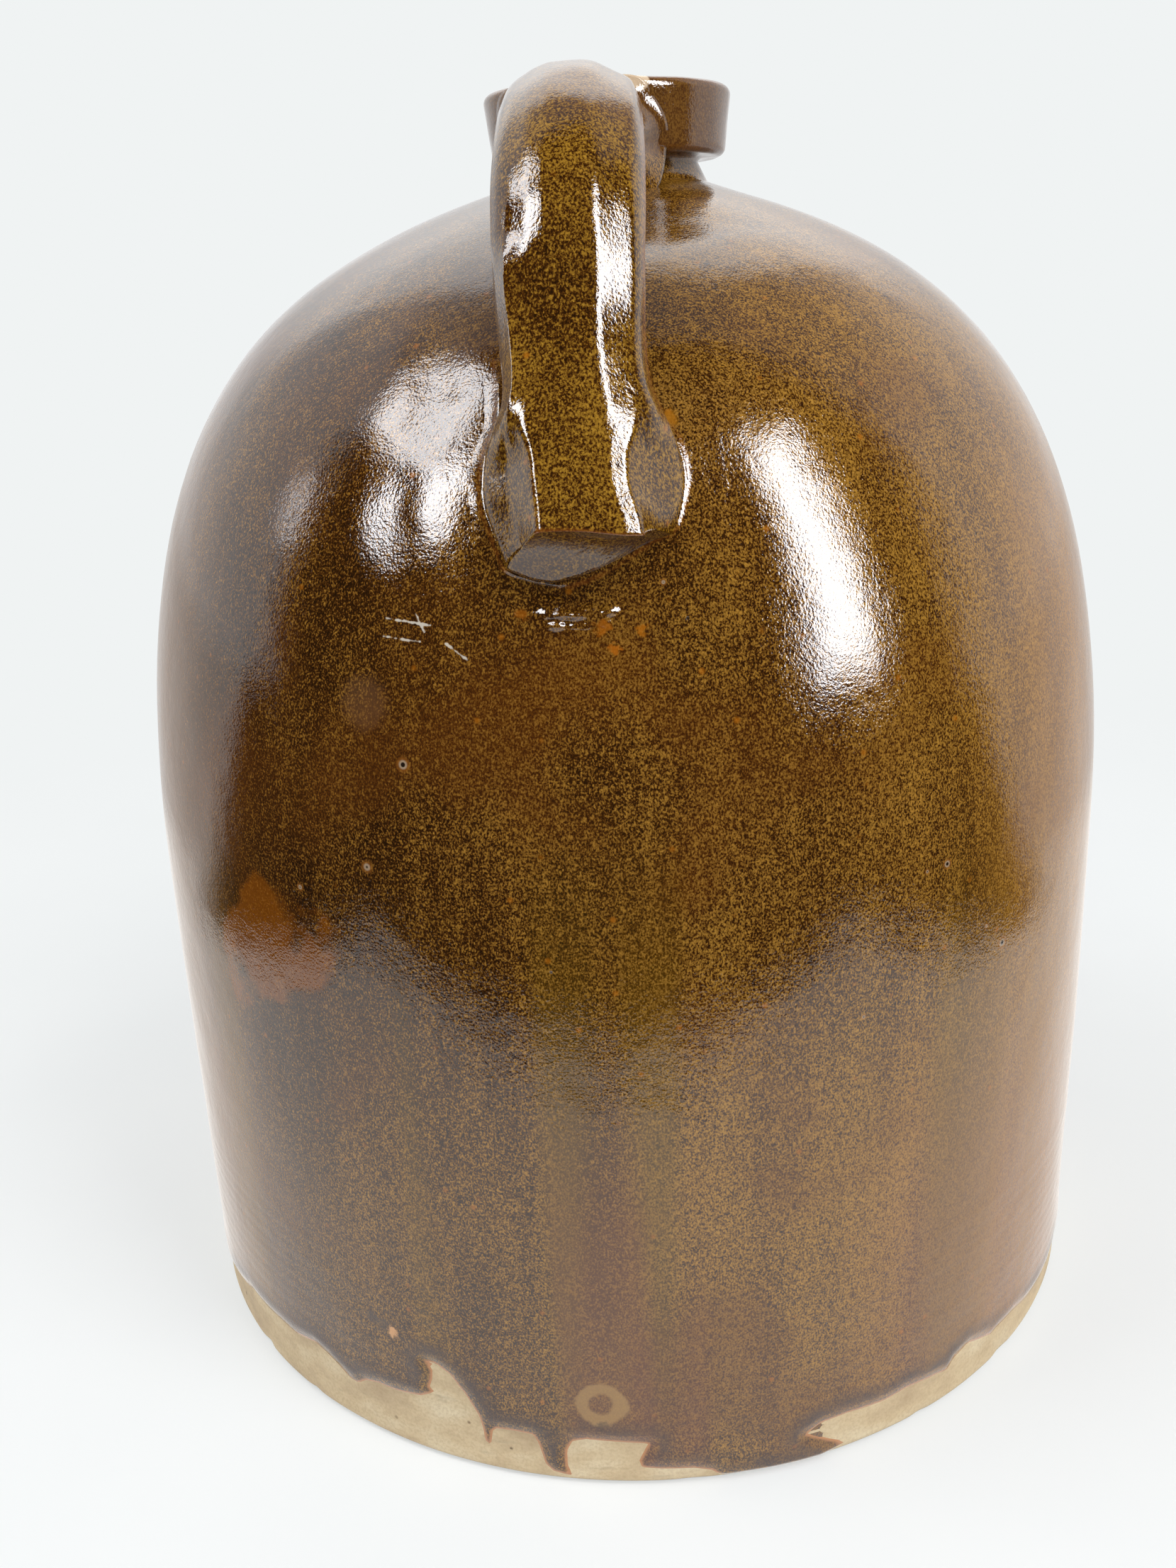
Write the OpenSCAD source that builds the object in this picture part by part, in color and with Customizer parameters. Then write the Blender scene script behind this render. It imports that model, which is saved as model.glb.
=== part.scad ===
// Stoneware crock jug: a thrown barrel and dome, a collared mouth, a pulled strap handle
// and a fired glaze coat. The origin is the centre of the foot, +Z is up, and the handle
// stands on the -Y side. Every radius and height is of the finished, glazed surface.

/* [Barrel] */
// Largest radius of the glazed body
body_radius = 116.6; // [112:0.2:120]
// How far the wall at the table lies inside the largest radius
foot_inset = 0.8; // [0:0.2:5]
// Height at which the wall has swelled to its largest radius
swell_height = 70; // [40:1:100]
// Height of the joint between the barrel and the domed shoulder
barrel_height = 114; // [105:1:120]
// Thickness of the thrown wall, from the glazed surface to the bare inside
wall = 8.5; // [7:0.5:10]
// Thickness of the floor
floor_thickness = 11; // [8:0.5:15]
// Rounding inside, where the floor turns up into the wall
heel_round = 16; // [10:1:24]
// Rounding of the foot's lower edge
foot_round = 2.4; // [1:0.2:4]

/* [Domed shoulder] */
// How far the upright line of the barrel pulls the dome up, as a share of the dome's height
dome_rise_share = 0.713; // [0.65:0.005:0.75]
// How far the slope beside the neck pulls the dome out, as a share of the dome's span
dome_reach_share = 0.638; // [0.54:0.005:0.72]
// Slope of the shoulder where it reaches the neck, in degrees
shoulder_slope = 16; // [12:1:20]

/* [Neck and lip] */
// Height of the rim above the table
rim_height = 285; // [280:1:292]
// Height of the collared lip
lip_height = 14.8; // [12:0.2:17]
// Radius of the lip at its top edge
lip_top_radius = 28; // [26.8:0.2:30]
// Radius of the lip at its bottom edge
lip_low_radius = 26.8; // [25.6:0.2:28]
// Rounding of the lip's outer edges
lip_round = 2; // [1:0.2:3]
// Radius of the neck under the lip
neck_radius = 20.5; // [19:0.5:22]
// Radius of the hollow curve between the shoulder and the neck
throat_round = 5; // [4:0.5:6]
// Radius of the mouth, which takes a straight cork
mouth_radius = 14; // [11:0.5:15]
// Rounding of the mouth's upper edge
mouth_round = 2; // [1:0.2:2.6]

/* [Strap handle] */
// Width of the strap
strap_width = 27.6; // [22:0.2:31]
// Thickness of the strap
strap_thickness = 12.4; // [10:0.2:14]
// How far the crown of the strap stands above the rim
crown_rise = 0.6; // [0:0.1:3]
// Radius of the strap's middle line over the crown, as a share of its way out from the neck
crown_bend_share = 0.494; // [0.45:0.005:0.54]
// Slope at which the strap climbs away from the lip, in degrees
root_slope = 15; // [8:1:20]
// Lean of the strap from upright where it starts to bend back out, in degrees
back_lean = 12; // [6:1:18]
// How much of the strap's fall from there runs straight down onto the shoulder, as a share
straight_share = 0.635; // [0.5:0.01:0.75]
// How deep the pressed end of the strap beds into the shoulder
bed_depth = 1.2; // [0.8:0.1:2]
// Distance from the middle of the pressed end to its cut edge on the shoulder
end_length = 14.6; // [12:0.2:17]
// Slant of the cut end, in degrees from a square cut
end_slant = 23; // [10:1:30]
// Turn of the strap off the radial line, about its own middle, in degrees
strap_skew = 5.3; // [0:0.1:8]

/* [Joining clay] */
// Width of the mound of clay pressed out round the strap's lower end
press_width = 36; // [34:1:40]
// How far the pressed clay stands out from the shoulder
press_rise = 6; // [5:0.5:7]
// Radius of the clay wad under the strap where it leaves the lip
wad_radius = 6.5; // [5:0.5:7.5]

/* [Glaze] */
// Thickness of the fired outer coat
coat = 0.6; // [0.4:0.1:1]
// Thickness of the fired liner inside
liner = 0.5; // [0.3:0.1:0.8]
// Height of the coat's lower edge above the table
glaze_line = 13; // [8:1:24]

/* [Hidden] */
$fn = 240;

// Numbers of straight pieces that stand for each curve
dome_steps = 32;
corner_steps = 6;
strap_steps = 20;
crown_steps = 20;
back_steps = 4;

// Place on the dome's curve, from 0 at the barrel to 1 at the neck, where the strap is pressed on
pad_share = 0.392;
// Fullness of the strap's section: 2 is an ellipse and more is squarer
strap_fullness = 2.6;

// Colours
glaze_brown = [0.36, 0.23, 0.09];
handle_brown = [0.42, 0.27, 0.10];
bare_clay = [0.80, 0.70, 0.55];
liner_brown = [0.20, 0.11, 0.06];

// Heights and places that follow from the sizes above
lip_base = rim_height - lip_height;
throat_foot = [neck_radius + throat_round * (1 - sin(shoulder_slope)),
               lip_base - throat_round * cos(shoulder_slope)];
throat_centre = throat_foot + throat_round * [sin(shoulder_slope), cos(shoulder_slope)];
lip_flare = atan((lip_top_radius - lip_low_radius) / (lip_height - 2 * lip_round));
mouth_edge = rim_height - mouth_round;
inner_radius = body_radius - wall;

// A smooth curve drawn by four points: it starts and ends on the outer two, and the inner two
// pull it their way
function curve_point(pulls, s) =
    pow(1 - s, 3) * pulls[0]
    + 3 * pow(1 - s, 2) * s * pulls[1]
    + 3 * (1 - s) * s * s * pulls[2]
    + s * s * s * pulls[3];

function curve_tangent(pulls, s) =
    let (way = pow(1 - s, 2) * (pulls[1] - pulls[0])
             + 2 * (1 - s) * s * (pulls[2] - pulls[1])
             + s * s * (pulls[3] - pulls[2]))
    way / norm(way);

// The dome's four points, each a radius and a height
dome_start = [body_radius, barrel_height];
dome_size = [body_radius - throat_foot.x, throat_foot.y - barrel_height];
dome_pulls = [dome_start,
              dome_start + [0, dome_rise_share * dome_size.y],
              throat_foot + dome_reach_share * dome_size.x * [cos(shoulder_slope),
                                                              -sin(shoulder_slope)],
              throat_foot];

function dome_point(s) = curve_point(dome_pulls, s);

function dome_tangent(s) = curve_tangent(dome_pulls, s);

function dome_normal(s) =
    let (way = dome_tangent(s))
    [way.y, -way.x];

// The dome moved outwards by grow, or inwards where grow is below zero
function dome_line(grow) =
    [for (i = [0 : dome_steps])
        let (s = i / dome_steps)
        dome_point(s) + grow * dome_normal(s)];

// Points on an arc from one angle to another, both ends included
function arc(centre, radius, from_angle, to_angle) =
    [for (i = [0 : corner_steps])
        let (angle = from_angle + (to_angle - from_angle) * i / corner_steps)
        centre + radius * [cos(angle), sin(angle)]];

function reversed(points) =
    [for (i = [len(points) - 1 : -1 : 0]) points[i]];

function all_but_last(points) =
    [for (i = [0 : len(points) - 2]) points[i]];

function all_but_first(points) =
    [for (i = [1 : len(points) - 1]) points[i]];

// Radius of the slightly swelling wall at a height below swell_height
function wall_radius(height) =
    body_radius - foot_inset * (1 - height / swell_height);

// Outside of the lower wall from a height up to the joint
function wall_line(height, grow) =
    [[wall_radius(height) + grow, height],
     [body_radius + grow, swell_height]];

// Hollow curve from the shoulder up into the corner under the lip
function throat_line(grow) =
    concat(all_but_last(arc(throat_centre, throat_round - grow, 270 - shoulder_slope, 180)),
           [[neck_radius + grow, lip_base - grow]]);

// Outside of the lip from its lower corner to its upper one
function lip_line(grow) =
    concat(arc([lip_low_radius - lip_round, lip_base + lip_round], lip_round + grow,
               -90, -lip_flare),
           arc([lip_top_radius - lip_round, rim_height - lip_round], lip_round + grow,
               -lip_flare, 90));

// Rounded upper edge of the mouth, from the top of the rim into the bore
function mouth_line(grow) =
    arc([mouth_radius + mouth_round, mouth_edge], mouth_round + grow, 90, 180);

// Whole outside above a height, up over the lip and into the mouth
function outer_line(height, grow) =
    concat(wall_line(height, grow), dome_line(grow), all_but_first(throat_line(grow)),
           lip_line(grow), mouth_line(grow));

// Inside of the barrel from the middle of the floor up to the joint
function barrel_inside(grow) =
    concat([[0, floor_thickness + grow]],
           arc([inner_radius - heel_round, floor_thickness + heel_round], heel_round - grow,
               -90, 0));

// The jug without its hollow, as far out as the bare clay
module solid_clay() {
    rotate_extrude()
        polygon(concat([[0, 0], [wall_radius(0) - coat, 0]],
                       outer_line(foot_round, -coat),
                       [[0, mouth_edge]]));
}

module barrel() {
    color(bare_clay)
        rotate_extrude()
            polygon(concat([[0, 0]],
                           arc([wall_radius(foot_round) - coat - foot_round, foot_round],
                               foot_round, -90, 0),
                           [[body_radius - coat, swell_height],
                            [body_radius - coat, barrel_height],
                            [inner_radius, barrel_height]],
                           reversed(barrel_inside(0))));
}

module domed_shoulder() {
    color(bare_clay)
        rotate_extrude()
            polygon(concat(dome_line(-coat), reversed(dome_line(-wall))));
}

module neck_collar() {
    inner_foot = dome_point(1) - wall * dome_normal(1);
    color(bare_clay)
        rotate_extrude()
            polygon(concat([[mouth_radius, inner_foot.y], inner_foot],
                           throat_line(-coat),
                           mouth_line(-coat),
                           [[mouth_radius, mouth_edge]]));
}

module lip_ring() {
    color(bare_clay)
        rotate_extrude()
            polygon(concat([[neck_radius - coat, lip_base + coat]],
                           lip_line(-coat),
                           [[neck_radius - coat, rim_height - coat]]));
}

// Lean of the dome's surface from upright at the pressed end, in degrees
pad_tangent = dome_tangent(pad_share);
pad_lean = atan2(-pad_tangent.x, pad_tangent.y);
pad_middle = dome_point(pad_share)
    + (strap_thickness / 2 - bed_depth) * dome_normal(pad_share);

// Height of the crown's centre, and the strap's fall from its crown to the pressed end
crown_bend = crown_bend_share * (pad_middle.x - neck_radius);
crown_height = rim_height + crown_rise - strap_thickness / 2 - crown_bend;
back_fall = crown_height + crown_bend * sin(back_lean) - pad_middle.y;
straight_fall = straight_share * back_fall;
pad_start = pad_middle + straight_fall * [-tan(pad_lean), 1];

// Centre of the crown, as a distance from the jug's axis and a height
crown_reach = pad_start.x - crown_bend * cos(back_lean)
    - (back_fall - straight_fall) * tan((back_lean + pad_lean) / 2);
crown_centre = [crown_reach, crown_height];

// The smooth curve that takes the strap from its crown to the straight part
crown_end = crown_centre + crown_bend * [cos(back_lean), sin(back_lean)];
back_pull = norm(pad_start - crown_end) / 3;
back_pulls = [crown_end,
              crown_end + back_pull * [sin(back_lean), -cos(back_lean)],
              pad_start - back_pull * [sin(pad_lean), -cos(pad_lean)],
              pad_start];

// Length of the strap from its crown down to the lip, into the neck's clay
root_length = (crown_reach - crown_bend * sin(root_slope) - neck_radius + coat) / cos(root_slope);

// Points of the strap's section: thickness first, with the outer face on its high side, then width
function section_points() =
    let (power = 2 / strap_fullness)
    [for (i = [0 : strap_steps - 1])
        let (angle = 360 * i / strap_steps)
        [strap_thickness / 2 * sign(cos(angle)) * pow(abs(cos(angle)), power),
         strap_width / 2 * sign(sin(angle)) * pow(abs(sin(angle)), power)]];

// A section standing at a middle, facing out along an angle, as distance, height and width
function ring_at(middle, angle) =
    [for (point = section_points())
        let (place = middle + point.x * [cos(angle), sin(angle)])
        [place.x, place.y, point.y]];

// The last section is slanted, so that its inner edge lies furthest down the shoulder
function end_ring() =
    [for (point = section_points())
        let (above_shoulder = point.x + strap_thickness / 2 - bed_depth,
             along = end_length - above_shoulder * tan(end_slant),
             place = pad_middle + point.x * [cos(pad_lean), sin(pad_lean)]
                 + along * [sin(pad_lean), -cos(pad_lean)])
        [place.x, place.y, point.y]];

crown_start = 90 + root_slope;
root_end = crown_centre + crown_bend * [cos(crown_start), sin(crown_start)]
    - root_length * [sin(crown_start), -cos(crown_start)];

strap_rings = concat(
    [ring_at(root_end, crown_start)],
    [for (i = [0 : crown_steps])
        let (angle = crown_start + (back_lean - crown_start) * i / crown_steps)
        ring_at(crown_centre + crown_bend * [cos(angle), sin(angle)], angle)],
    [for (i = [1 : back_steps])
        let (way = curve_tangent(back_pulls, i / back_steps))
        ring_at(curve_point(back_pulls, i / back_steps), atan2(way.x, -way.y))],
    [end_ring()]);

// Turns what belongs to the handle a little off the radial line, as it was set by hand
module skewed() {
    middle = (crown_reach + pad_middle.x) / 2;
    translate([0, -middle, 0])
        rotate([0, 0, strap_skew])
            translate([0, middle, 0])
                children();
}

// Stands a drawing of distance from the axis and height up on the -Y side of the jug
module on_handle_plane() {
    skewed()
        rotate([90, 0, -90])
            children();
}

// The whole strap before it is fitted to the clay, as one skin over its rings
module strap_shape() {
    last = len(strap_rings) - 1;
    sides = [for (ring = [0 : last - 1], i = [0 : strap_steps - 1])
        let (next = (i + 1) % strap_steps,
             low = ring * strap_steps,
             high = low + strap_steps)
        [low + i, high + i, high + next, low + next]];
    on_handle_plane()
        polyhedron(points = [for (ring = strap_rings, point = ring) point],
                   faces = concat(sides,
                                  [[for (i = [0 : strap_steps - 1]) i]],
                                  [[for (i = [strap_steps - 1 : -1 : 0])
                                      last * strap_steps + i]]));
}

module handle_strap() {
    color(handle_brown)
        difference() {
            strap_shape();
            solid_clay();
        }
}

// A round-ended bar of clay between two places, each a distance across, along and up
module clay_roll(from_place, to_place, radius) {
    way = to_place - from_place;
    translate(from_place)
        sphere(radius);
    translate(to_place)
        sphere(radius);
    translate(from_place)
        rotate([0, acos(way.z / norm(way)), atan2(way.y, way.x)])
            cylinder(h = norm(way), r = radius);
}

// A wad of clay under the strap, across its root, in the corner between lip and shoulder
module upper_joint_shape() {
    side = strap_width / 2 - wad_radius / 2;
    high = [neck_radius + wad_radius, lip_base];
    low = [throat_foot.x + wad_radius, throat_foot.y];
    skewed()
        for (place = [high, low])
            clay_roll([-side, -place.x, place.y], [side, -place.x, place.y], wad_radius);
}

module upper_joint_clay() {
    color(handle_brown)
        difference() {
            upper_joint_shape();
            strap_shape();
            solid_clay();
        }
}

// A low round mound behind the strap's pressed end
module lower_joint_shape() {
    half_width = press_width / 2;
    ball_radius = (half_width * half_width + press_rise * press_rise) / (2 * press_rise);
    on_handle_plane()
        translate(dome_point(pad_share) + (press_rise - ball_radius) * dome_normal(pad_share))
            sphere(ball_radius);
}

module lower_joint_clay() {
    color(handle_brown)
        difference() {
            lower_joint_shape();
            strap_shape();
            solid_clay();
        }
}

module outer_glaze_coat() {
    color(glaze_brown)
        difference() {
            rotate_extrude()
                polygon(concat(outer_line(glaze_line, 0), reversed(outer_line(glaze_line, -coat))));
            strap_shape();
            upper_joint_shape();
            lower_joint_shape();
        }
}

module inner_glaze_liner() {
    inner_foot = dome_point(1) - wall * dome_normal(1);
    color(liner_brown)
        rotate_extrude()
            polygon(concat(barrel_inside(0), dome_line(-wall),
                           [[mouth_radius, inner_foot.y], [mouth_radius, inner_foot.y - liner]],
                           reversed(dome_line(-wall - liner)), reversed(barrel_inside(liner))));
}

barrel();
domed_shoulder();
neck_collar();
lip_ring();
handle_strap();
upper_joint_clay();
lower_joint_clay();
outer_glaze_coat();
inner_glaze_liner();
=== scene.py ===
"""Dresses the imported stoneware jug: its speckled brown glaze, its bare clay foot and its
hand-made handle, with a pale floor, soft window light and the photograph's viewing angle.

Lengths are in metres, heights are above the table, and the handle stands on the -Y side."""

import math

import bpy
import numpy as np
from mathutils import Matrix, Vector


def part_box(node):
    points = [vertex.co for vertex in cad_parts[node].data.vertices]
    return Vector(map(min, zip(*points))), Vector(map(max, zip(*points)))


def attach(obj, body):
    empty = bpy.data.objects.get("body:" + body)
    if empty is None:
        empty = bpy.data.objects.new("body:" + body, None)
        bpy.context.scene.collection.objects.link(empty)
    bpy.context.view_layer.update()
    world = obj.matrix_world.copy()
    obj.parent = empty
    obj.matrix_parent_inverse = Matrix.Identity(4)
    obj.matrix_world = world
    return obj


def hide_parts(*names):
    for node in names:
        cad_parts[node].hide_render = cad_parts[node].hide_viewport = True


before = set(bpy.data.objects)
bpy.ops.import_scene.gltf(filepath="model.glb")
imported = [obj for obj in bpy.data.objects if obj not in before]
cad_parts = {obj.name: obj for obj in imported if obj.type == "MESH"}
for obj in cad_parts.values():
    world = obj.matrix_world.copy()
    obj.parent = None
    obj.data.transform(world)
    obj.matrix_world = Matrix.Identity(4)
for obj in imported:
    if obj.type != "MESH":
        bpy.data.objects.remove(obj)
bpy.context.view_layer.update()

bl_info = {
    "name": "Stoneware jug",
    "version": (1, 0, 0),
    "blender": (4, 5, 0),
    "location": "3D View > Sidebar > Jug",
    "description": "Builds the glazed surfaces, the handle and the stage of a stoneware jug",
    "category": "Add Mesh",
}

MM = 0.001

# Sizes that the frame gives
BODY_RADIUS = float(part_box("outer_glaze_coat")[1][0])
RIM_HEIGHT = float(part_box("outer_glaze_coat")[1][2])
BARREL_HEIGHT = float(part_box("barrel")[1][2])

# Sizes of the jug's profile, as the solids have them
COAT = 0.6 * MM
WALL = 8.5 * MM
FLOOR_THICKNESS = 11 * MM
HEEL_ROUND = 16 * MM
FOOT_ROUND = 2.4 * MM
FOOT_INSET = 0.8 * MM
SWELL_HEIGHT = 70 * MM
DOME_RISE_SHARE = 0.713
DOME_REACH_SHARE = 0.638
SHOULDER_SLOPE = math.radians(16)
LIP_HEIGHT = 14.8 * MM
LIP_TOP_RADIUS = 28 * MM
LIP_LOW_RADIUS = 26.8 * MM
LIP_ROUND = 2 * MM
NECK_RADIUS = 20.5 * MM
THROAT_ROUND = 5 * MM
MOUTH_RADIUS = 14 * MM
MOUTH_ROUND = 2 * MM

# Sizes of the strap, as the solids have them
STRAP_THICKNESS = 12.4 * MM
CROWN_RISE = 0.6 * MM
CROWN_BEND_SHARE = 0.494
ROOT_SLOPE = math.radians(15)
BACK_LEAN = math.radians(12)
STRAIGHT_SHARE = 0.635
PAD_SHARE = 0.392
BED_DEPTH = 1.2 * MM
END_LENGTH = 14.6 * MM
STRAP_SKEW = math.radians(5.3)

# Places that follow from the sizes
LIP_BASE = RIM_HEIGHT - LIP_HEIGHT
THROAT_FOOT = np.array([NECK_RADIUS + THROAT_ROUND * (1 - math.sin(SHOULDER_SLOPE)),
                        LIP_BASE - THROAT_ROUND * math.cos(SHOULDER_SLOPE)])
THROAT_CENTRE = THROAT_FOOT + THROAT_ROUND * np.array([math.sin(SHOULDER_SLOPE),
                                                       math.cos(SHOULDER_SLOPE)])
LIP_FLARE = math.atan((LIP_TOP_RADIUS - LIP_LOW_RADIUS) / (LIP_HEIGHT - 2 * LIP_ROUND))
DOME_WIDE = BODY_RADIUS - THROAT_FOOT[0]
DOME_HIGH = THROAT_FOOT[1] - BARREL_HEIGHT
DOME_PULLS = np.array([
    [BODY_RADIUS, BARREL_HEIGHT],
    [BODY_RADIUS, BARREL_HEIGHT + DOME_RISE_SHARE * DOME_HIGH],
    [THROAT_FOOT[0] + DOME_REACH_SHARE * DOME_WIDE * math.cos(SHOULDER_SLOPE),
     THROAT_FOOT[1] - DOME_REACH_SHARE * DOME_WIDE * math.sin(SHOULDER_SLOPE)],
    THROAT_FOOT])

# The camera that fits the photograph: a distance from the jug's axis and a height, and turns
PHOTO_SIZE = (1659, 2212)
FOCAL_PIXELS = 2023.0
CAMERA_DISTANCE = 357.6 * MM
CAMERA_HEIGHT = 243.1 * MM
CAMERA_PITCH = math.radians(18.96)
CAMERA_ROLL = math.radians(-2.41)
CAMERA_YAW = math.radians(-1.52)
CAMERA_SIDE = math.radians(4.3)
SENSOR = 36.0

# Stretch of a line of sight that is searched for the body, in metres, and in how many steps
SIGHT_NEAR = 0.15
SIGHT_FAR = 0.45
SIGHT_STEPS = 6001

# The glaze's lower edge as the photograph shows it, in its pixels from left to right
GLAZE_EDGE_LEFT = [
    (322, 1765), (327, 1785), (354, 1820), (374, 1845), (391, 1861), (414, 1882), (442, 1896),
    (457, 1910), (471, 1925), (492, 1948), (502, 1954), (512, 1950), (531, 1954), (555, 1964),
    (590, 1972), (611, 1968), (603, 1960), (607, 1948), (607, 1935), (599, 1923), (613, 1927),
    (632, 1941), (656, 1972), (673, 1999), (679, 2015), (683, 2036), (691, 2042), (693, 2022),
    (699, 2018), (726, 2022), (751, 2027), (759, 2040), (769, 2069), (780, 2079), (807, 2086),
    (800, 2071), (799, 2050), (807, 2036), (827, 2034), (860, 2037), (915, 2040)]
GLAZE_EDGE_RIGHT = [
    (902, 2064), (906, 2074), (937, 2076), (980, 2075), (1006, 2078), (1023, 2088),
    (1093, 2080), (1162, 2062), (1195, 2037), (1171, 2033), (1140, 2026), (1162, 2010),
    (1197, 1997), (1249, 1980), (1284, 1960), (1327, 1941), (1340, 1936), (1351, 1917),
    (1370, 1897), (1403, 1884), (1409, 1876), (1431, 1852), (1453, 1830), (1470, 1802)]

# Height on the wall at which lengths round it are measured, and the zone that holds the
# glaze's lower edge
EDGE_LEVEL = 20 * MM
EDGE_ZONE = 60 * MM

# The glaze's edge behind the jug, in mm: its level, waves as height, count of radians and
# start, and runs as depth, angle round from -Y and spread
BACK_LEVEL = 15
BACK_WAVES = ((3.0, 3.1, 0.4), (2.2, 7.3, 2), (1.1, 17, 0), (0.5, 41, 1))
BACK_RUNS = ((9, 2.15, 0.035), (7, 3.5, 0.05), (5, 4.3, 0.03))

# The glaze's height over the clay at lengths inside its edge, in mm: a bead along the edge
RISE_LENGTHS = (-1.6, 1.3, 2.6, 4.5, 8.0)
RISE_HEIGHTS = (-0.5, 0.42, 0.8, 0.72, COAT / MM)
LEAST_COAT = 0.35 * MM

# Heights between which the wall passes into the lip
LIP_BAND = (262 * MM, 272 * MM)

# The hand's marks on the body, in mm: depth, length round from -Y and its spread, height and
# its spread
FINGER_MARKS = ((0.55, -4, 11, 172.5, 2.6), (-0.5, -4, 13, 178.5, 3.4), (-0.8, -27, 8, 226, 9),
                (0.5, -24, 6, 207, 6), (-0.5, -34, 6, 205, 8))

# How far the lip stands off the axis to the right, and up
LIP_SHIFT = 1.2 * MM
LIP_RAISE = 0.5 * MM

# Nicks along the foot: degrees round from -Y, height, width, height and depth of each
FOOT_CHIPS = [
    (-49, 1.0 * MM, 2.2 * MM, 1.6 * MM, 0.8 * MM), (-38, 0.4 * MM, 1.5 * MM, 1.2 * MM, 0.7 * MM),
    (9, 0.5 * MM, 3.0 * MM, 0.9 * MM, 0.4 * MM), (37, 0.8 * MM, 2.0 * MM, 1.0 * MM, 0.6 * MM),
    (52, 1.6 * MM, 2.6 * MM, 1.8 * MM, 0.7 * MM), (118, 0.8 * MM, 3.0 * MM, 1.5 * MM, 0.8 * MM),
    (171, 0.6 * MM, 2.0 * MM, 1.2 * MM, 0.7 * MM), (-122, 1.0 * MM, 2.6 * MM, 1.6 * MM, 0.8 * MM)]

# The strap's run from its root, and there its half width and its shift to the right, in mm
STRAP_RUN = (0, 39, 56, 64, 72, 84, 91, 97.5, 105, 110, 141)
STRAP_HALF = (13.4, 13.6, 13.9, 14.0, 14.0, 13.8, 13.65, 13.3, 13.1, 13.1, 13.1)
STRAP_SHIFT = (0.3, 0.3, 0.0, -0.4, -0.8, -1.05, -1.15, -1.05, -0.8, -0.65, -0.4)

# The pressed foot of the strap: lengths down from its middle, and its reach left and right
PRESS_DOWN = (-30, -23, -19.5, -16.2, -12.8, -9.3, -3.8, 0, 3.8, 8.2, 10.9, 13)
PRESS_LEFT = (13.9, 13.9, 14.0, 14.3, 16.0, 17.4, 18.1, 17.9, 16.8, 15.5, 14.7, 13.7)
PRESS_RIGHT = (12.5, 12.6, 12.9, 13.9, 15.7, 17.2, 18.2, 17.9, 16.8, 15.0, 13.2, 11.2)

# Height of the strap's widest line over its flat underside
STRAP_SPRING = 3.9 * MM

# The strap's upper side: shares of its half width, and heights over its underside in mm
ROOF_ACROSS = (-1, -0.985, -0.95, -0.88, -0.78, -0.52, -0.3, 0, 0.2, 0.36, 0.88, 0.955, 0.988, 1)
ROOF_HIGH = (3.9, 5.2, 6.5, 7.8, 9.0, 10.95, 12.0, 12.35, 12.35, 11.95, 8.5, 6.7, 5.3, 3.9)

# The left half of that side lower down, where it is flatter with a steep flank
FLANK_ACROSS = (-1, -0.98, -0.84, -0.5, -0.2, 0, 0.2)
FLANK_HIGH = (3.9, 5.8, 11.0, 11.8, 12.25, 12.35, 12.35)

# The top edge of the strap's cut and the low one, in mm: lengths across, and lengths down
# from the middle of its foot
CUT_TOP_ACROSS = (-14, -9, -5, 0, 4, 8, 11, 16)
CUT_TOP_DOWN = (8.6, 8.4, 8.35, 8.8, 9.4, 10.0, 10.6, 11.4)
CUT_LOW_ACROSS = (-18, -13.7, -10.3, -6.1, -1.3, 2.9, 7.3, 11.3, 16)
CUT_LOW_DOWN = (9.0, 11.9, 13.5, 14.5, 13.6, 12.2, 10.1, 7.9, 6.4)

# The pressed foot's section: shares of the way over it, and the heights there in mm
PRESS_OVER = (0, 0.025, 0.14, 0.30, 0.335, 0.50, 0.66, 0.76, 0.88, 0.975, 1)
PRESS_HIGH = (0.7, 1.7, 5.4, 11.35, 12.0, 12.4, 12.15, 11.2, 5.8, 1.7, 0.7)

# Shares of a section's points over its top, and the turns in degrees that they stand at
OVER_SHARES = (0, 0.10, 0.20, 0.30, 0.345, 0.66, 0.76, 1)
OVER_TURNS = (-90, -59, -55, -42, -36, 32, 43, 90)

# Points of a section over its top and under it, and how far in the cut face's rings lie
STRAP_OVER = 84
STRAP_UNDER = 28
CUT_RINGS = (0.985, 0.96, 0.92, 0.86, 0.78, 0.68, 0.56, 0.43, 0.3, 0.15)

# Length of the strap's end over which its rows are drawn towards the cut, and a glaze depth
# set on the cut, in shares of the coat: the material turns it into painted shade, a slate
# tint on the cut face
DRAWN_LENGTH = 40 * MM
CUT_SHADE_DEPTH = 1.2

# Point that the rings of the cut face are drawn towards: to the right, and over the strap's
# underside
CUT_MIDDLE_ACROSS = 1 * MM
CUT_MIDDLE_HIGH = 6 * MM

# Where the smeared clay lands on the lip and the shoulder, in mm, and the turns that lead there
LIP_JOINT_RIGHT = ((-4.5, 285.2), (9.0, 285.2), (12.8, 281.5), (15.6, 276.5), (15.4, 271.2))
LIP_JOINT_LOW = ((13.2, 27.5), (6.5, 33.5), (-3, 36.5), (-13, 35.0), (-19.5, 26.5))
LIP_JOINT_LEFT = ((-21.0, 271.6), (-22.0, 278.5), (-19.0, 284.8))
LIP_JOINT_TURNS = np.array([0, 58, 78, 92, 108, 128, 152, 180, 208, 236, 262, 282, 304]) / 360

# The clay pressed out round the foot: reach of its patch to the sides, up and down, and how
# many points it has each way
PATCH_SIDE = 31 * MM
PATCH_UP = 36 * MM
PATCH_DOWN = 33 * MM
PATCH_POINTS = 190

# Refractive index of the fired glaze
GLAZE_IOR = 1.7

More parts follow.
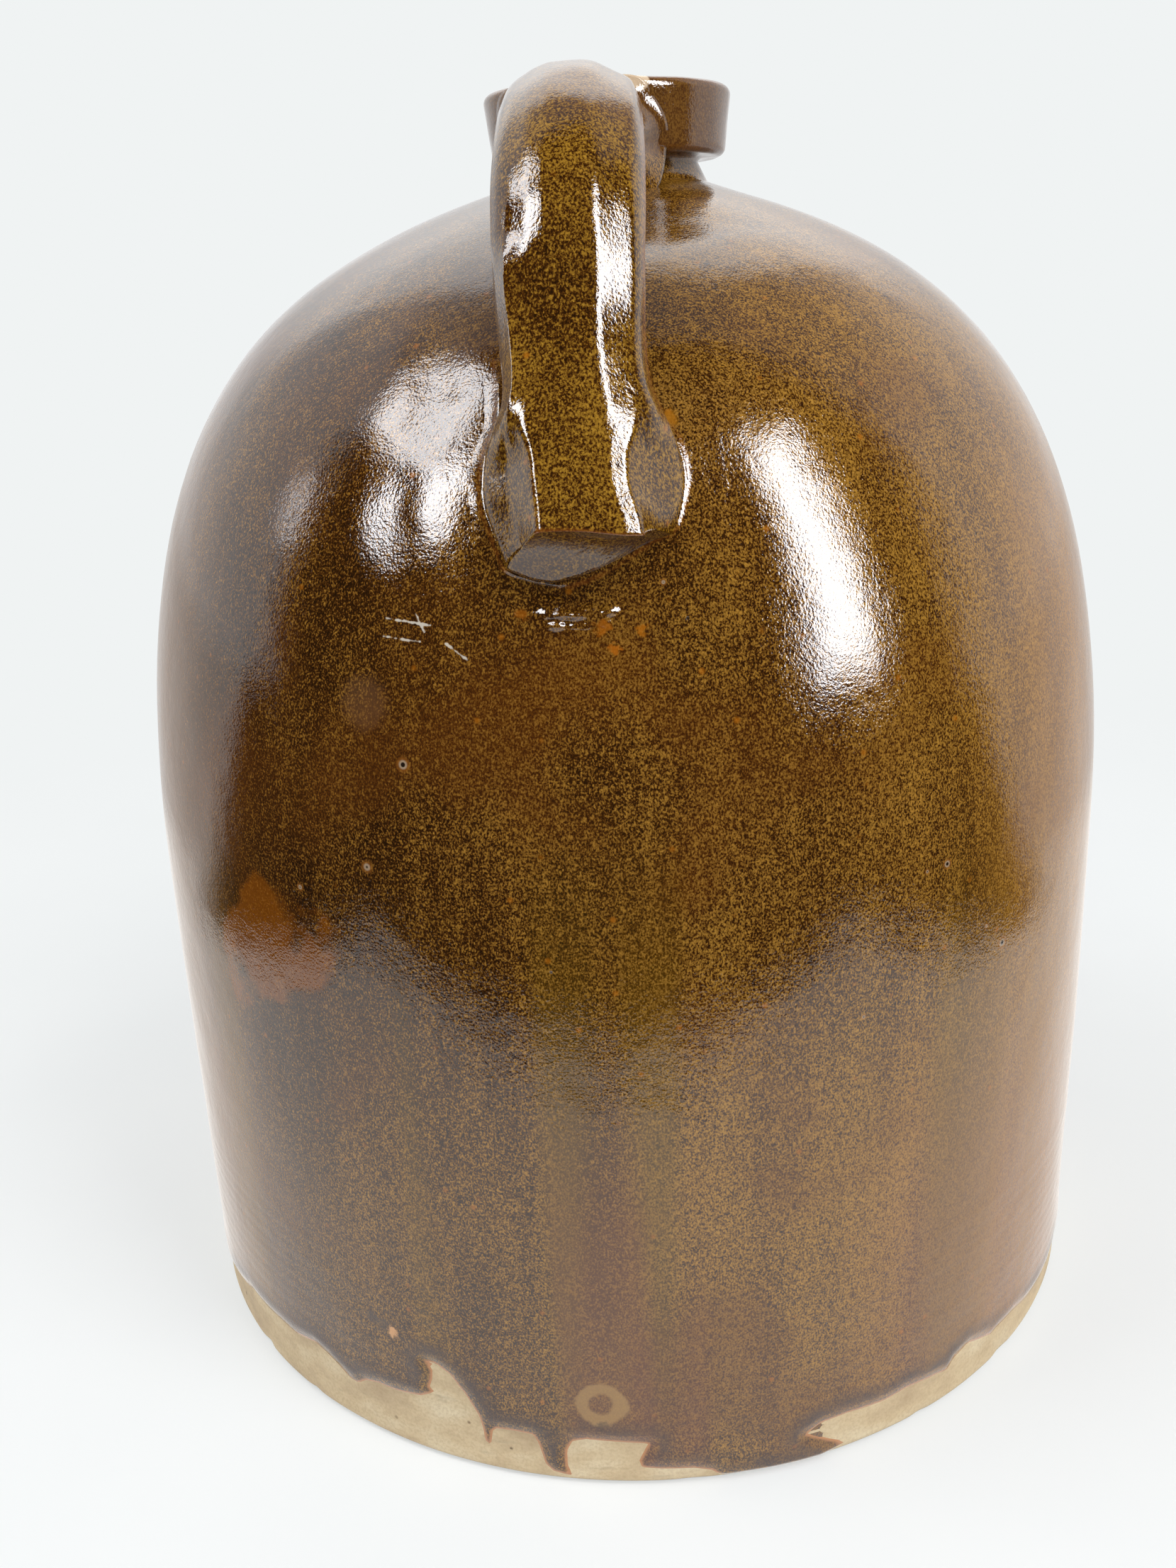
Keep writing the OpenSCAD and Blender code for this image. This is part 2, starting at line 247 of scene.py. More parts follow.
# Spots in the body's glaze: where the photograph shows each, in its pixels, its radius in mm,
# how much of the colour it changes, and its colour as a screen shows it
GLAZE_SPOTS = (
    ((850, 885), 1.3, 0.7, (158, 88, 12)), ((905, 888), 0.9, 0.7, (166, 98, 16)),
    ((512, 992), 4.5, 0.25, (128, 92, 60)), ((735, 868), 1.0, 0.6, (150, 84, 14)),
    ((524, 1858), 1.5, 0.7, (58, 42, 38)), ((540, 1870), 1.6, 0.7, (60, 44, 38)),
    ((553, 1881), 1.2, 0.95, (206, 152, 100)), ((942, 590), 1.6, 0.7, (164, 104, 12)),
    ((848, 2012), 1.1, 0.6, (52, 32, 24)), ((868, 915), 0.8, 0.7, (170, 96, 18)))

# The pale ring low on the front and the patch of rust at the left, in pixels
PALE_RING = (848, 1983)
RUST_PATCH = (372, 1315)

# Places on the joining clay where the glaze is missing or rusty, their radii and colours
JOINT_SPOTS = (((9.4 * MM, -26.4 * MM, 285.0 * MM), 3.0 * MM, (205, 180, 150)),
               ((12.4 * MM, -31.0 * MM, 266.0 * MM), 1.4 * MM, (150, 84, 40)))

# Scratches: the two ends of each, in pixels of the photograph
SCRATCHES = (((544, 872), (606, 882)), ((540, 898), (592, 905)), ((628, 908), (658, 930)),
             ((586, 866), (598, 892)))

# Pinholes in the glaze: where the photograph shows each, in its pixels, and its radius in mm.
# Each is only painted: an orange halo, a pale ring that is a painted highlight on its rim,
# and a dark core that is painted shade inside the hole
PINHOLES = (((568, 1079), 0.95), ((516, 1224), 0.9), ((422, 1252), 0.6), ((1337, 1219), 0.75),
            ((1309, 1230), 0.4), ((1415, 1330), 1.0), ((1393, 1307), 0.5), ((1219, 1435), 0.4),
            ((936, 821), 0.45))

# Dark spots on the bare clay: where the photograph shows each, in its pixels, its radius in
# mm and how much of the colour it changes
CLAY_SPOTS = (
    ((720, 2046), 0.75, 0.85), ((744, 2050), 0.45, 0.8), ((745, 2057), 0.5, 0.8),
    ((751, 2058), 0.45, 0.8), ((522, 1969), 0.6, 0.8), ((516, 1978), 0.45, 0.7),
    ((478, 1950), 0.4, 0.6), ((1352, 1952), 0.5, 0.8), ((1342, 1962), 0.4, 0.7))

# What the glaze reflects: the dim room in front of the jug, the white walls beside it, the
# brighter one high behind it, the white table, and the floor further back
ROOM_DARK = (0.035, 0.030, 0.026, 1)
ROOM_WHITE = (1.0, 1.01, 1.02, 1)
ROOM_HIGH_BACK = (1.8, 1.82, 1.83, 1)
TABLE_SHEEN = (1.14, 1.12, 1.09, 1)
BACK_SHEEN = (0.80, 0.79, 0.78, 1)

# Even light of the room on what isn't glossy
AMBIENT = (0.50, 0.51, 0.52, 1)

# Windows that the glaze reflects: degrees round from -Y and half width, degrees up and half
# height, softness of the edge in degrees, and strength
WINDOWS = ((56.0, 8.5, 27.0, 22.0, 2.5, 15.0), (-50.0, 9.5, 40.0, 11.0, 2.5, 14.0),
           (-72.0, 11.0, 52.0, 8.5, 2.5, 9.0), (-87.0, 1.8, 24.0, 5.0, 1.6, 6.0))

# Lamps: name, degrees round from -Y and up, width and height in metres, and power in watts
LAMPS = (("window_right", 50, 50, (0.6, 1.0), 15), ("window_left", -70, 58, (0.6, 0.6), 9))
LAMP_DISTANCE = 1.5
LAMP_AIM = np.array([0, 0, 0.14])

# Where the white table ends in front of the jug's axis, and to both sides, and the floor's
# half width and level
TABLE_FRONT = -0.296
TABLE_SIDE = 0.33
FLOOR_REACH = 8.0
FLOOR_LEVEL = -0.05 * MM


def linear(red, green, blue):
    """A colour given in steps of 0 to 255 as a screen shows it, in the numbers that a shader
    takes."""
    shown = np.array([red, green, blue]) / 255
    light = np.where(shown <= 0.04045, shown / 12.92, ((shown + 0.055) / 1.055) ** 2.4)
    return (float(light[0]), float(light[1]), float(light[2]), 1.0)


def smooth_step(low, high, value):
    """0 below low, 1 above high, and an even bend between them: 3t squared less 2t cubed."""
    share = np.clip((value - low) / (high - low), 0, 1)
    return share * share * (3 - 2 * share)


def hump(value, middle, spread):
    """A bell: e to the minus square of the distance from the middle over the spread."""
    return np.exp(-((value - middle) / spread) ** 2)


def curve_points(pulls, share):
    """Points of the curve that four points draw: each point weighted by its cubic term."""
    share = np.asarray(share)[..., None]
    return ((1 - share) ** 3 * pulls[0] + 3 * (1 - share) ** 2 * share * pulls[1]
            + 3 * (1 - share) * share ** 2 * pulls[2] + share ** 3 * pulls[3])


def curve_ways(pulls, share):
    """Unit directions along the curve that four points draw."""
    share = np.asarray(share)[..., None]
    way = ((1 - share) ** 2 * (pulls[1] - pulls[0])
           + 2 * (1 - share) * share * (pulls[2] - pulls[1])
           + share ** 2 * (pulls[3] - pulls[2]))
    return unit(way)


def arc_points(centre, radius, angles):
    """Points on an arc: the centre plus the radius along each angle."""
    return centre + radius * np.stack([np.cos(angles), np.sin(angles)], axis=-1)


def unit(vectors):
    """Vectors brought to length one."""
    return vectors / np.maximum(np.linalg.norm(vectors, axis=-1, keepdims=True), 1e-12)


def hand_waves(points, wavelength, seed):
    """Soft unevenness, mostly between -1 and 1: nine plane waves of about one wavelength in
    seeded directions, added and divided by the root of their count."""
    count = 9
    draw = np.random.default_rng(seed)
    ways = unit(draw.normal(size=(count, 3)))
    stretch = draw.uniform(0.75, 1.3, size=(count, 1))
    phases = draw.uniform(0, 2 * math.pi, size=count)
    turns = points @ (2 * math.pi / wavelength * stretch * ways).T + phases
    return np.sin(turns).sum(axis=-1) / math.sqrt(count)


def wall_radius(height):
    """Radius of the glazed wall below the swell: it leans in by the foot's inset."""
    return BODY_RADIUS - FOOT_INSET * np.clip(1 - height / SWELL_HEIGHT, 0, 1)


def dome_height(radius):
    """Height of the glazed dome at a distance from the axis."""
    points = curve_points(DOME_PULLS, np.linspace(0, 1, 800))
    return np.interp(-np.asarray(radius), -points[:, 0], points[:, 1])


def mesh_piece(name, points, faces, smooth=True):
    """A mesh object at the origin from an array of points and lists of faces."""
    mesh = bpy.data.meshes.new(name)
    mesh.from_pydata(points.reshape(-1, 3).tolist(), [], faces)
    mesh.update()
    mesh.polygons.foreach_set("use_smooth", np.full(len(mesh.polygons), smooth))
    piece = bpy.data.objects.new(name, mesh)
    bpy.context.scene.collection.objects.link(piece)
    return piece


def store(piece, name, values):
    """Keeps one number for each point of a piece, for its material to read."""
    layer = piece.data.attributes.new(name, "FLOAT", "POINT")
    layer.data.foreach_set("value", np.ascontiguousarray(values, dtype=np.float32).ravel())


def band_faces(first_row, second_row, around, flip=False):
    """Four-sided faces between two closed rows of points, given by their first numbers."""
    here = np.arange(around)
    after = (here + 1) % around
    corners = [first_row + here, first_row + after, second_row + after, second_row + here]
    if flip:
        corners = corners[::-1]
    return np.stack(corners, axis=1)


def grid_faces(rows, around, flip=False):
    """Faces of a grid of closed rows."""
    return np.concatenate([band_faces(row * around, (row + 1) * around, around, flip)
                           for row in range(rows - 1)])


def fan_faces(row_start, pole, around, flip=False):
    """Triangles between a closed row and its pole."""
    here = row_start + np.arange(around)
    after = row_start + (np.arange(around) + 1) % around
    corners = [here, after, np.full(around, pole)]
    if flip:
        corners = corners[::-1]
    return np.stack(corners, axis=1)


def capped_tube(name, rows, poles, flip=False):
    """A closed solid from closed rows of points: a grid between the rows, and a fan from the
    first row to the first pole and from the last row to the second."""
    count, around = rows.shape[:2]
    total = count * around
    faces = grid_faces(count, around, flip=flip).tolist()
    faces += fan_faces(0, total, around, flip=not flip).tolist()
    faces += fan_faces(total - around, total + 1, around, flip=flip).tolist()
    return mesh_piece(name, np.concatenate([rows.reshape(-1, 3), poles]), faces)


def row_middles(rows):
    """The middles of the first and the last row."""
    return np.stack([rows[0].mean(axis=0), rows[-1].mean(axis=0)])


def camera_axes():
    """The camera's place and its forward, right and up directions."""
    forward = np.array([math.sin(CAMERA_YAW) * math.cos(CAMERA_PITCH),
                        math.cos(CAMERA_YAW) * math.cos(CAMERA_PITCH), -math.sin(CAMERA_PITCH)])
    level = np.array([math.cos(CAMERA_YAW), -math.sin(CAMERA_YAW), 0])
    above = np.cross(level, forward)
    right = math.cos(CAMERA_ROLL) * level + math.sin(CAMERA_ROLL) * above
    up = -math.sin(CAMERA_ROLL) * level + math.cos(CAMERA_ROLL) * above
    turn = np.array([[math.cos(CAMERA_SIDE), -math.sin(CAMERA_SIDE), 0],
                     [math.sin(CAMERA_SIDE), math.cos(CAMERA_SIDE), 0], [0, 0, 1]])
    place = turn @ np.array([0, -CAMERA_DISTANCE, CAMERA_HEIGHT])
    return place, turn @ forward, turn @ right, turn @ up


def on_wall(pixels):
    """Where lines of sight through pixels of the photograph meet the lower wall: the angle
    round from -Y and the height. A line that passes beside the wall is taken to where it
    passes closest."""
    place, forward, right, up = camera_axes()
    pixels = np.array(pixels, dtype=float)
    ways = (forward * FOCAL_PIXELS + (pixels[:, :1] - PHOTO_SIZE[0] / 2) * right
            - (pixels[:, 1:] - PHOTO_SIZE[1] / 2) * up)
    across = (ways[:, :2] ** 2).sum(axis=1)
    along = ways[:, :2] @ place[:2]
    short = (place[:2] ** 2).sum() - wall_radius(EDGE_LEVEL) ** 2
    steps = (-along - np.sqrt(np.maximum(along ** 2 - across * short, 0))) / across
    spots = place + steps[:, None] * ways
    return np.arctan2(spots[:, 0], -spots[:, 1]), spots[:, 2]


def on_body(pixel):
    """The point where the line of sight through a pixel of the photograph meets the glazed
    body: the first of many even steps along it that lies inside the profile."""
    place, forward, right, up = camera_axes()
    way = unit(forward * FOCAL_PIXELS + (pixel[0] - PHOTO_SIZE[0] / 2) * right
               - (pixel[1] - PHOTO_SIZE[1] / 2) * up)
    spots = place + np.linspace(SIGHT_NEAR, SIGHT_FAR, SIGHT_STEPS)[:, None] * way
    dome = curve_points(DOME_PULLS, np.linspace(0, 1, 800))
    heights = np.concatenate([[0, SWELL_HEIGHT], dome[:, 1]])
    radii = np.concatenate([wall_radius(heights[:2]), dome[:, 0]])
    inside = np.hypot(spots[:, 0], spots[:, 1]) < np.interp(spots[:, 2], heights, radii, right=0)
    return tuple(float(value) for value in spots[np.argmax(inside)])


def glaze_edge():
    """The glaze's lower edge all round, as lengths round the wall from -Y and heights: what
    the photograph shows, joined behind by waves and three runs."""
    angles, heights = on_wall(GLAZE_EDGE_LEFT + GLAZE_EDGE_RIGHT)
    behind = np.linspace(angles[-1], angles[0] + 2 * math.pi, 240)[1:-1]
    share = (behind - angles[-1]) / (angles[0] + 2 * math.pi - angles[-1])
    waves = sum(high * np.sin(rate * behind + start) for high, rate, start in BACK_WAVES)
    runs = sum(deep * hump(behind, angle, spread) for deep, angle, spread in BACK_RUNS)
    blend = smooth_step(0, 0.06, share) * smooth_step(0, 0.06, 1 - share)
    level = heights[-1] + (heights[0] - heights[-1]) * share
    back = level * (1 - blend) + (BACK_LEVEL + waves - runs) * MM * blend
    all_angles = np.concatenate([angles, behind])
    all_heights = np.concatenate([heights, np.maximum(back, 1.5 * MM)])
    return all_angles * wall_radius(EDGE_LEVEL), all_heights


def inside_glaze(along, height):
    """Signed distance to the glaze's edge: above zero where the wall is glazed. The sign comes
    from how often the edge passes below the point."""
    edge_along, edge_height = glaze_edge()
    round_length = 2 * math.pi * wall_radius(EDGE_LEVEL)
    corners = np.stack([edge_along, edge_height], axis=1)
    line = np.concatenate([corners, [corners[0] + [round_length, 0]]])
    flat = np.stack([np.ravel(along), np.ravel(height)], axis=1)
    flat[:, 0] = edge_along[0] + np.mod(flat[:, 0] - edge_along[0], round_length)
    nearest = np.full(len(flat), np.inf)
    crossings = np.zeros(len(flat), dtype=int)
    for shift in (-round_length, 0, round_length):
        moved = line + [shift, 0]
        for start, end in zip(moved[:-1], moved[1:]):
            way = end - start
            share = np.clip(((flat - start) @ way) / max(way @ way, 1e-14), 0, 1)
            gap = flat - start - share[:, None] * way
            nearest = np.minimum(nearest, (gap ** 2).sum(axis=1))
            if shift == 0 and way[0] != 0:
                spans = (start[0] <= flat[:, 0]) != (end[0] <= flat[:, 0])
                level = start[1] + (flat[:, 0] - start[0]) / way[0] * way[1]
                crossings += spans & (level < flat[:, 1])
    sign = np.where(crossings % 2 == 1, 1.0, -1.0)
    return (sign * np.sqrt(nearest)).reshape(np.shape(along))


def clay_dents(points):
    """How far chips and fine rings of the wheel sink the bare clay near the foot, in metres."""
    along = np.arctan2(points[..., 0], -points[..., 1]) * BODY_RADIUS
    height = points[..., 2]
    chips = np.zeros(points.shape[:-1])
    for angle, level, wide, high, deep in FOOT_CHIPS:
        beside = hump(along, math.radians(angle) * BODY_RADIUS, wide)
        chips += deep * beside * hump(height, level, high)
    rings = 0.04 * MM * np.sin(2 * math.pi * height / (3.1 * MM) + 1.5 * np.sin(along / 0.05))
    return chips + rings * smooth_step(0, 4 * MM, height) * (1 - smooth_step(0.05, 0.09, height))


def coat_profile():
    """The glazed outside from the foot up over the lip and into the mouth: distances from
    the axis, heights and outward directions, one row each, and where its stretches start."""
    foot_centre = np.array([wall_radius(FOOT_ROUND) - COAT - FOOT_ROUND, FOOT_ROUND])
    foot_angles = np.radians(np.linspace(-68, -6, 6))
    foot = arc_points(foot_centre, FOOT_ROUND + COAT, foot_angles)
    foot_ways = np.stack([np.cos(foot_angles), np.sin(foot_angles)], axis=1)
    heights = np.concatenate([np.linspace(FOOT_ROUND, 50 * MM, 44),
                              np.linspace(50 * MM, BARREL_HEIGHT, 15)[1:-1]])
    wall = np.stack([wall_radius(heights), heights], axis=1)
    wall_ways = np.tile([1.0, 0.0], (len(heights), 1))
    shares = np.linspace(0, 1, 50)
    dome = curve_points(DOME_PULLS, shares)
    along = curve_ways(DOME_PULLS, shares)
    dome_ways = np.stack([along[:, 1], -along[:, 0]], axis=1)
    throat_angles = np.linspace(1.5 * math.pi - SHOULDER_SLOPE, math.radians(200), 7)[1:]
    throat = arc_points(THROAT_CENTRE, THROAT_ROUND, throat_angles)
    throat_ways = -np.stack([np.cos(throat_angles), np.sin(throat_angles)], axis=1)
    corner_pulls = np.array([throat[-1], [NECK_RADIUS + 0.1 * MM, LIP_BASE - 0.3 * MM],
                             [NECK_RADIUS + 0.4 * MM, LIP_BASE],
                             [NECK_RADIUS + 2 * MM, LIP_BASE]])
    corner_shares = np.linspace(0, 1, 6)[1:]
    corner = curve_points(corner_pulls, corner_shares)
    corner_along = curve_ways(corner_pulls, corner_shares)
    corner_ways = np.stack([corner_along[:, 1], -corner_along[:, 0]], axis=1)
    under_radii = np.linspace(NECK_RADIUS + 2 * MM, LIP_LOW_RADIUS - LIP_ROUND, 4)[1:]
    under = np.stack([under_radii, np.full(3, LIP_BASE)], axis=1)
    under_ways = np.tile([0.0, -1.0], (3, 1))
    low_angles = np.linspace(-math.pi / 2, -LIP_FLARE, 8)[1:]
    low_centre = np.array([LIP_LOW_RADIUS - LIP_ROUND, LIP_BASE + LIP_ROUND])
    low = arc_points(low_centre, LIP_ROUND, low_angles)
    low_ways = np.stack([np.cos(low_angles), np.sin(low_angles)], axis=1)
    top_angles = np.linspace(-LIP_FLARE, math.pi / 2, 10)
    top_centre = np.array([LIP_TOP_RADIUS - LIP_ROUND, RIM_HEIGHT - LIP_ROUND])
    top = arc_points(top_centre, LIP_ROUND, top_angles)
    top_ways = np.stack([np.cos(top_angles), np.sin(top_angles)], axis=1)
    side = low[-1] + np.linspace(0, 1, 13)[1:-1, None] * (top[0] - low[-1])
    side_ways = np.tile(low_ways[-1], (len(side), 1))
    rim_radii = np.linspace(LIP_TOP_RADIUS - LIP_ROUND, MOUTH_RADIUS + MOUTH_ROUND, 8)[1:-1]
    rim = np.stack([rim_radii, np.full(len(rim_radii), RIM_HEIGHT)], axis=1)
    rim_ways = np.tile([0.0, 1.0], (len(rim), 1))
    mouth_angles = np.linspace(math.pi / 2, math.pi, 8)
    mouth_centre = np.array([MOUTH_RADIUS + MOUTH_ROUND, RIM_HEIGHT - MOUTH_ROUND])
    mouth = arc_points(mouth_centre, MOUTH_ROUND, mouth_angles)
    mouth_ways = np.stack([np.cos(mouth_angles), np.sin(mouth_angles)], axis=1)
    places = np.concatenate([foot, wall, dome, throat, corner, under, low, side, top, rim, mouth])
    ways = np.concatenate([foot_ways, wall_ways, dome_ways, throat_ways, corner_ways, under_ways,
                           low_ways, side_ways, top_ways, rim_ways, mouth_ways])
    dome_start = len(foot) + len(wall)
    lip_start = dome_start + len(dome) + len(throat) + len(corner)
    starts = {"dome": dome_start, "throat": dome_start + len(dome), "lip": lip_start,
              "mouth": len(places) - len(mouth)}
    return places, ways, starts


def round_angles(around, crowding):
    """Angles round the axis from -Y, closer together at the front: equal shares of the
    running sum of one plus crowding times the raised cosine."""
    fine = np.linspace(-math.pi, math.pi, 7201)
    density = 1 + crowding * (0.5 + 0.5 * np.cos(fine))
    total = np.concatenate([[0], np.cumsum((density[1:] + density[:-1]) / 2)])
    return np.interp(np.arange(around) / around * total[-1], total, fine)


def body_unevenness(points):
    """How far a hand-thrown wall strays from true, in metres and never outwards: long and
    short waves, faint throwing rings, finger marks beside and below the handle, a hollow
    beside its root, and a lip a little out of true."""
    height = points[..., 2]
    radius = np.hypot(points[..., 0], points[..., 1])
    angle = np.arctan2(points[..., 0], -points[..., 1])
    along = angle * radius
    waves = (0.11 * hand_waves(points, 0.075, 11) + 0.085 * hand_waves(points, 0.034, 12)
             + 0.034 * hand_waves(points, 0.016, 13))
    rings = 0.016 * np.sin(2 * math.pi * height / 0.0072 + 2 * hand_waves(points, 0.2, 14))
    fingers = sum(deep * hump(along / MM, side, wide) * hump(height / MM, level, high)
                  for deep, side, wide, level, high in FINGER_MARKS)
    spread = np.where(radius < 50 * MM, 14 * MM, 9.5 * MM)
    hollow = 1.3 * hump(radius, 50 * MM, spread) * hump(angle, 0.3, 0.55) * (height > 0.2)
    lip = 0.16 * hand_waves(points, 0.026, 15) + 0.05 * hand_waves(points, 0.009, 16)
    on_lip = smooth_step(LIP_BAND[0], LIP_BAND[1], height)
    stray = (waves + rings) * (1 - on_lip) + fingers - hollow + lip * on_lip - 0.08
    return soft_inward(stray) * MM


def soft_inward(stray):
    """Values brought below zero with an even bend: minus the logarithm of one plus e to
    minus six times the value, over six."""
    return -np.log1p(np.exp(np.clip(-6 * stray, -40, 40))) / 6


def leaning_lip(points):
    """Points with the lip moved as on the real jug, a little to the right and up: the whole
    move above the throat, none below it and none round the mouth."""
    height = points[..., 2]
    around = np.hypot(points[..., 0], points[..., 1])
    share = smooth_step(0.262, 0.2715, height) * smooth_step(15.5 * MM, 21 * MM, around)
    moved = points.copy()
    moved[..., 0] += LIP_SHIFT * share
    moved[..., 2] += LIP_RAISE * share
    return moved


def glaze_rise(distance):
    """Height of the glaze over the clay at a distance inside its edge: below zero outside,
    where the coat is sunk in the clay, a bead just inside, and then the coat's thickness."""
    return np.interp(distance / MM, RISE_LENGTHS, RISE_HEIGHTS) * MM


def turned(places, angles):
    """Rows of distances and heights turned round the axis to a grid of points."""
    spin = np.stack([np.sin(angles), -np.cos(angles)], axis=1)
    return np.concatenate([places[:, None, :1] * spin[None], np.repeat(
        places[:, None, 1:], len(angles), axis=1)], axis=2)


def glazed_surface(angles, places, ways):
    """The glaze's outside over a grid of rows and angles, its outward directions and how thick
    the glaze is: the profile turned round the axis and moved along its outward direction."""
    points = turned(places, angles)
    outward = turned(ways, angles)
    rise = np.full(points.shape[:2], COAT)
    low_rows = places[:, 1] < EDGE_ZONE
    along = np.broadcast_to(angles * wall_radius(EDGE_LEVEL), points.shape[:2])[low_rows]
    rise[low_rows] = glaze_rise(inside_glaze(along, points[low_rows][..., 2]))
    move = body_unevenness(points) - clay_dents(points) - COAT + rise
    return leaning_lip(points + move[..., None] * outward), outward, rise


def make_glazed_body():
    """The glaze coat as one closed skin: its outside, and an inner side that lies on the clay
    or in it where the wall is bare."""
    around = 500
    angles = round_angles(around, 1.7)
    places, ways, _ = coat_profile()
    outside, outward, rise = glazed_surface(angles, places, ways)
    rows = len(places)
    kept = np.unique(np.concatenate([np.arange(0, rows, 8), [rows - 1]]))
    inside = outside[kept] - np.maximum(rise[kept], LEAST_COAT)[..., None] * outward[kept]
    points = np.concatenate([outside.reshape(-1, 3), inside.reshape(-1, 3)])
    points[:, 2] = np.maximum(points[:, 2], 0.15 * MM)
    first_inside = rows * around
    faces = [grid_faces(rows, around)]
    faces.append(grid_faces(len(kept), around, flip=True) + first_inside)
    faces.append(band_faces(0, first_inside, around, flip=True))
    last_outside = (rows - 1) * around
    last_inside = first_inside + (len(kept) - 1) * around
    faces.append(band_faces(last_outside, last_inside, around))
    piece = mesh_piece("glazed_body", points, np.concatenate(faces).tolist())
    lip_edges = (hump(places[:, 1], RIM_HEIGHT - 0.5 * MM, 0.7 * MM) * (places[:, 0] > 26 * MM)
                 + hump(places[:, 1], LIP_BASE + 0.8 * MM, 1.0 * MM) * (places[:, 0] > 25 * MM))
    wear = np.repeat(0.6 * lip_edges[:, None], around, axis=1)
    store(piece, "glaze_depth", np.concatenate([rise.ravel(), rise[kept].ravel()]) / COAT)
    store(piece, "wear", np.concatenate([wear.ravel(), wear[kept].ravel()]))
    return piece


def ring_solid(name, rows):
    """A closed ring from a loop of closed rows: each row joined to the next, the last to the
    first."""
    count, around = rows.shape[:2]
    faces = [grid_faces(count, around), band_faces((count - 1) * around, 0, around)]
    return mesh_piece(name, rows.reshape(-1, 3), np.concatenate(faces).tolist())


def make_clay_shoulder():
    """The domed upper half of the clay: the glaze's surface less the coat outside, and the
    same profile a wall's thickness further in."""
    angles = round_angles(300, 1.2)
    places, ways, starts = coat_profile()
    part = slice(starts["dome"], starts["throat"])
    outside, outward, _ = glazed_surface(angles, places[part], ways[part])
    inside = turned(places[part] - (WALL - 0.15 * MM) * ways[part], angles)
    return ring_solid("clay_shoulder", np.concatenate([outside - COAT * outward, inside[::-1]]))


def make_clay_lip():
    """The band of clay laid round the collar: the glaze's surface less the coat, and a
    straight bore that clears the collar."""
    angles = round_angles(200, 0.8)
    places, ways, starts = coat_profile()
    part = slice(starts["lip"], starts["mouth"])
    wide = places[part, 0] > NECK_RADIUS + 1 * MM
    outside, outward, _ = glazed_surface(angles, places[part][wide], ways[part][wide])
    bore = np.stack([np.full(4, NECK_RADIUS + 0.9 * MM),
                     np.linspace(RIM_HEIGHT - 1 * MM, LIP_BASE + 1 * MM, 4)], axis=1)
    inside = leaning_lip(turned(bore, angles))
    return ring_solid("clay_lip", np.concatenate([outside - COAT * outward, inside]))


def make_clay_barrel():
    """The thrown lower half as a closed solid: its underside, the bare wall, and the inside
    down to the floor, turned round the axis and dented near the foot."""
    angles = round_angles(420, 1.2)
    foot_centre = np.array([wall_radius(FOOT_ROUND) - COAT - FOOT_ROUND, FOOT_ROUND])
    under_radii = np.linspace(6 * MM, foot_centre[0], 18)
    under = np.stack([under_radii, np.zeros(18)], axis=1)
    foot_angles = np.radians(np.linspace(-90, 0, 9)[1:])
    foot = arc_points(foot_centre, FOOT_ROUND, foot_angles)
    heights = np.concatenate([np.linspace(FOOT_ROUND, 50 * MM, 44)[1:],
                              np.linspace(50 * MM, BARREL_HEIGHT, 8)[1:]])
    wall = np.stack([wall_radius(heights) - COAT, heights], axis=1)
    inner = BODY_RADIUS - WALL
    inside_heights = np.linspace(BARREL_HEIGHT, FLOOR_THICKNESS + HEEL_ROUND, 6)
    inside = np.stack([np.full(6, inner), inside_heights], axis=1)
    heel = arc_points(np.array([inner - HEEL_ROUND, FLOOR_THICKNESS + HEEL_ROUND]), HEEL_ROUND,
                      np.radians(np.linspace(0, -90, 9)[1:]))
    floor_radii = np.linspace(inner - HEEL_ROUND, 6 * MM, 6)[1:]
    floor = np.stack([floor_radii, np.full(5, FLOOR_THICKNESS)], axis=1)
    profile = np.concatenate([under, foot, wall, inside, heel, floor])
    outer_rows = len(under) + len(foot) + len(wall)
    points = turned(profile, angles)
    outer = slice(len(under), outer_rows)
    outward = turned(np.array([[1.0, 0.0]]), angles)
    move = body_unevenness(points[outer]) - clay_dents(points[outer])
    hold = smooth_step(0, FOOT_ROUND, profile[outer, 1])[:, None]
    points[outer] += (move * (0.35 + 0.65 * hold))[..., None] * outward
    return capped_tube("clay_barrel", points, np.array([[0, 0, 0], [0, 0, FLOOR_THICKNESS]]))


